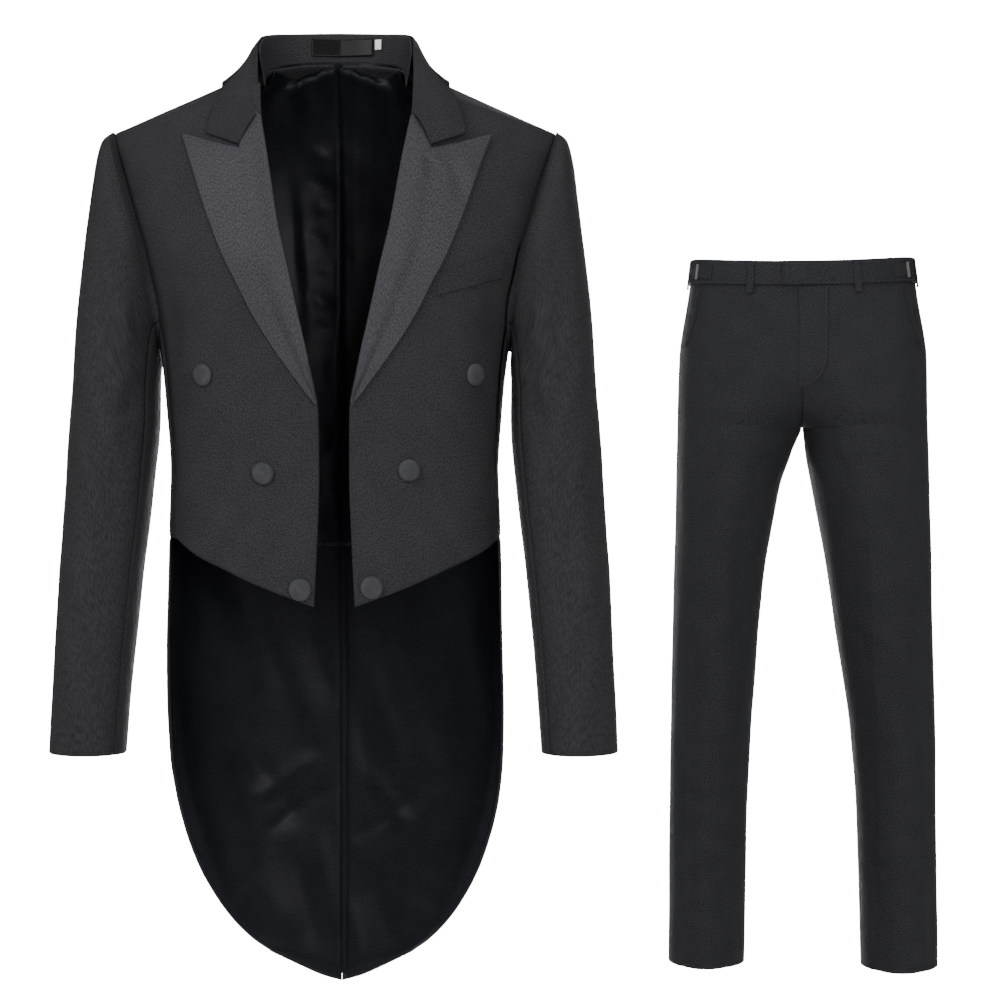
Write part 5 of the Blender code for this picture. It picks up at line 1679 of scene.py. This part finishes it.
def make_stitches():
    """Rows of stitches at the fly, band, pockets, loops, lapels and the lining's edge."""
    tree, sockets = make_stitch_row()
    for name, places in STITCH_ROWS:
        face, places = FACES[name], np.array(places, float)
        at = np.linspace(0, len(places) - 1, 120)
        rows = np.interp(at, np.arange(len(places)), places[:, 0])
        columns = np.interp(at, np.arange(len(places)), places[:, 1])
        r, c = rows.astype(int), columns.astype(int)
        down, over = (rows - r)[:, None], (columns - c)[:, None]
        line = (face[r, c] * (1 - over) + face[r, c + 1] * over) * (1 - down)
        line = line + (face[r + 1, c] * (1 - over) + face[r + 1, c + 1] * over) * down
        mesh = bpy.data.meshes.new(f"{name}_line")
        mesh.from_pydata((line * MM).tolist(), [(i, i + 1) for i in range(len(line) - 1)], [])
        maker = add_object(f"{name}_line", mesh)
        modifier = maker.modifiers.new("stitches", "NODES")
        modifier.node_group = tree
        for label, value in STITCH.items():
            modifier[sockets[label]] = value
        modifier[sockets["Thread"]] = FINISHES["thread"]
        graph = bpy.context.evaluated_depsgraph_get()
        sewn = bpy.data.meshes.new_from_object(maker.evaluated_get(graph))
        bpy.data.objects.remove(maker)
        sewn.name = f"{name}_stitches"
        piece = add_object(f"{name}_stitches", sewn)
        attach(piece, "root")


def make_room():
    """A plain pale floor that sweeps up behind; the paper glows round the middle of its back wall."""
    half = 9.0  # of the paper's width, in metres
    bend = 1.6  # radius of its sweep
    front, top = -6.0, 7.0  # where it ends
    line = [(front, FLOOR), (BACK_WALL - bend, FLOOR)]
    for i in range(1, 17):
        turn = math.radians(90 * i / 16)
        y = BACK_WALL - bend + bend * math.sin(turn)
        line.append((y, FLOOR + bend * (1 - math.cos(turn))))
    line.append((BACK_WALL, top))
    points = [(x, y, z) for y, z in line for x in (-half, half)]
    faces = [[2 * i, 2 * i + 1, 2 * i + 3, 2 * i + 2] for i in range(len(line) - 1)]
    mesh = bpy.data.meshes.new("studio_floor")
    mesh.from_pydata(points, [], faces)
    mesh.shade_smooth()
    paper, tree, shader = new_finish("pale paper")
    place = tree.nodes.new("ShaderNodeTexCoord")
    cloudy = noise_of(tree, place.outputs["Object"], 2.0)
    between_values(tree, cloudy, 0.93, 0.97, shader.inputs["Base Color"])
    shader.inputs["Roughness"].default_value = 0.95
    away = tree.nodes.new("ShaderNodeVectorMath")
    away.operation = "DISTANCE"
    away.inputs[1].default_value = (CAMERA[0], BACK_WALL, CAMERA[2])
    tree.links.new(place.outputs["Object"], away.inputs[0])
    behind = tree.nodes.new("ShaderNodeMapRange")
    behind.inputs["From Min"].default_value = GLOW_REACH[1]
    behind.inputs["From Max"].default_value = GLOW_REACH[0]
    tree.links.new(away.outputs["Value"], behind.inputs["Value"])
    tree.links.new(behind.outputs[0], shader.inputs["Emission Color"])
    shader.inputs["Emission Strength"].default_value = PAPER_GLOW
    mesh.materials.append(paper)
    add_object("studio_floor", mesh)


def soft_light(name, place, at, size, power):
    """A square soft light at a place, turned to a point."""
    lamp = bpy.data.lights.new(name, "AREA")
    lamp.shape = "RECTANGLE"
    lamp.size, lamp.size_y = size
    lamp.energy = power
    thing = add_object(name, lamp)
    thing.location = place
    toward = Vector(at) - Vector(place)
    thing.rotation_mode = "QUATERNION"
    thing.rotation_quaternion = toward.to_track_quat("-Z", "Y")


CAMERA = (0.1712, -2.6, -0.4316)
FLOOR = -3.5
BACK_WALL = 12.0
GLOW_REACH = (4.3, 4.9)  # metres from the wall's middle over which the paper's glow fades out
PAPER_GLOW = 16.0
WORLD_LIGHT = 0.3
LIGHTS = (
    ("key_light", (-1.9, -2.6, 1.2), (0.1, 0.2, -0.5), (1.6, 2.0), 88),
    ("fill_light", (1.2, -3.2, 0.2), (0.4, 0.5, -0.6), (1.6, 1.4), 78),
    ("top_light", (0.2, -0.4, 2.6), (0.2, 0.3, -0.5), (2.6, 1.6), 28),
    ("back_light", (1.6, 4.6, 1.4), (0.2, 0.4, -0.5), (2.0, 2.0), 60),
)


def make_camera():
    camera = bpy.data.cameras.new("camera")
    camera.lens = 90.0
    camera.sensor_width = 36.0
    thing = add_object("camera", camera)
    thing.location = CAMERA
    thing.rotation_euler = (math.pi / 2, 0, 0)
    bpy.context.scene.camera = thing
    world = bpy.data.worlds.new("studio")
    world.use_nodes = True
    light = world.node_tree.nodes["Background"]
    light.inputs["Color"].default_value = (1.0, 1.0, 1.0, 1)
    light.inputs["Strength"].default_value = WORLD_LIGHT
    bpy.context.scene.world = world


make_fronts()
make_side_bodies()
make_backs()
make_skirts()
make_linings()
make_vent()
make_lapels()
make_collar()
make_sleeves()
make_front_details()
make_neck_ribbon()
legs = make_trousers()
make_waistband()
make_fly(legs)
make_stitches()
for name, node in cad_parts.items():
    if "slide" in name:
        node.data.materials.clear()
        node.data.materials.append(FINISHES["slide metal"])
make_room()
for light in LIGHTS:
    soft_light(*light)
make_camera()
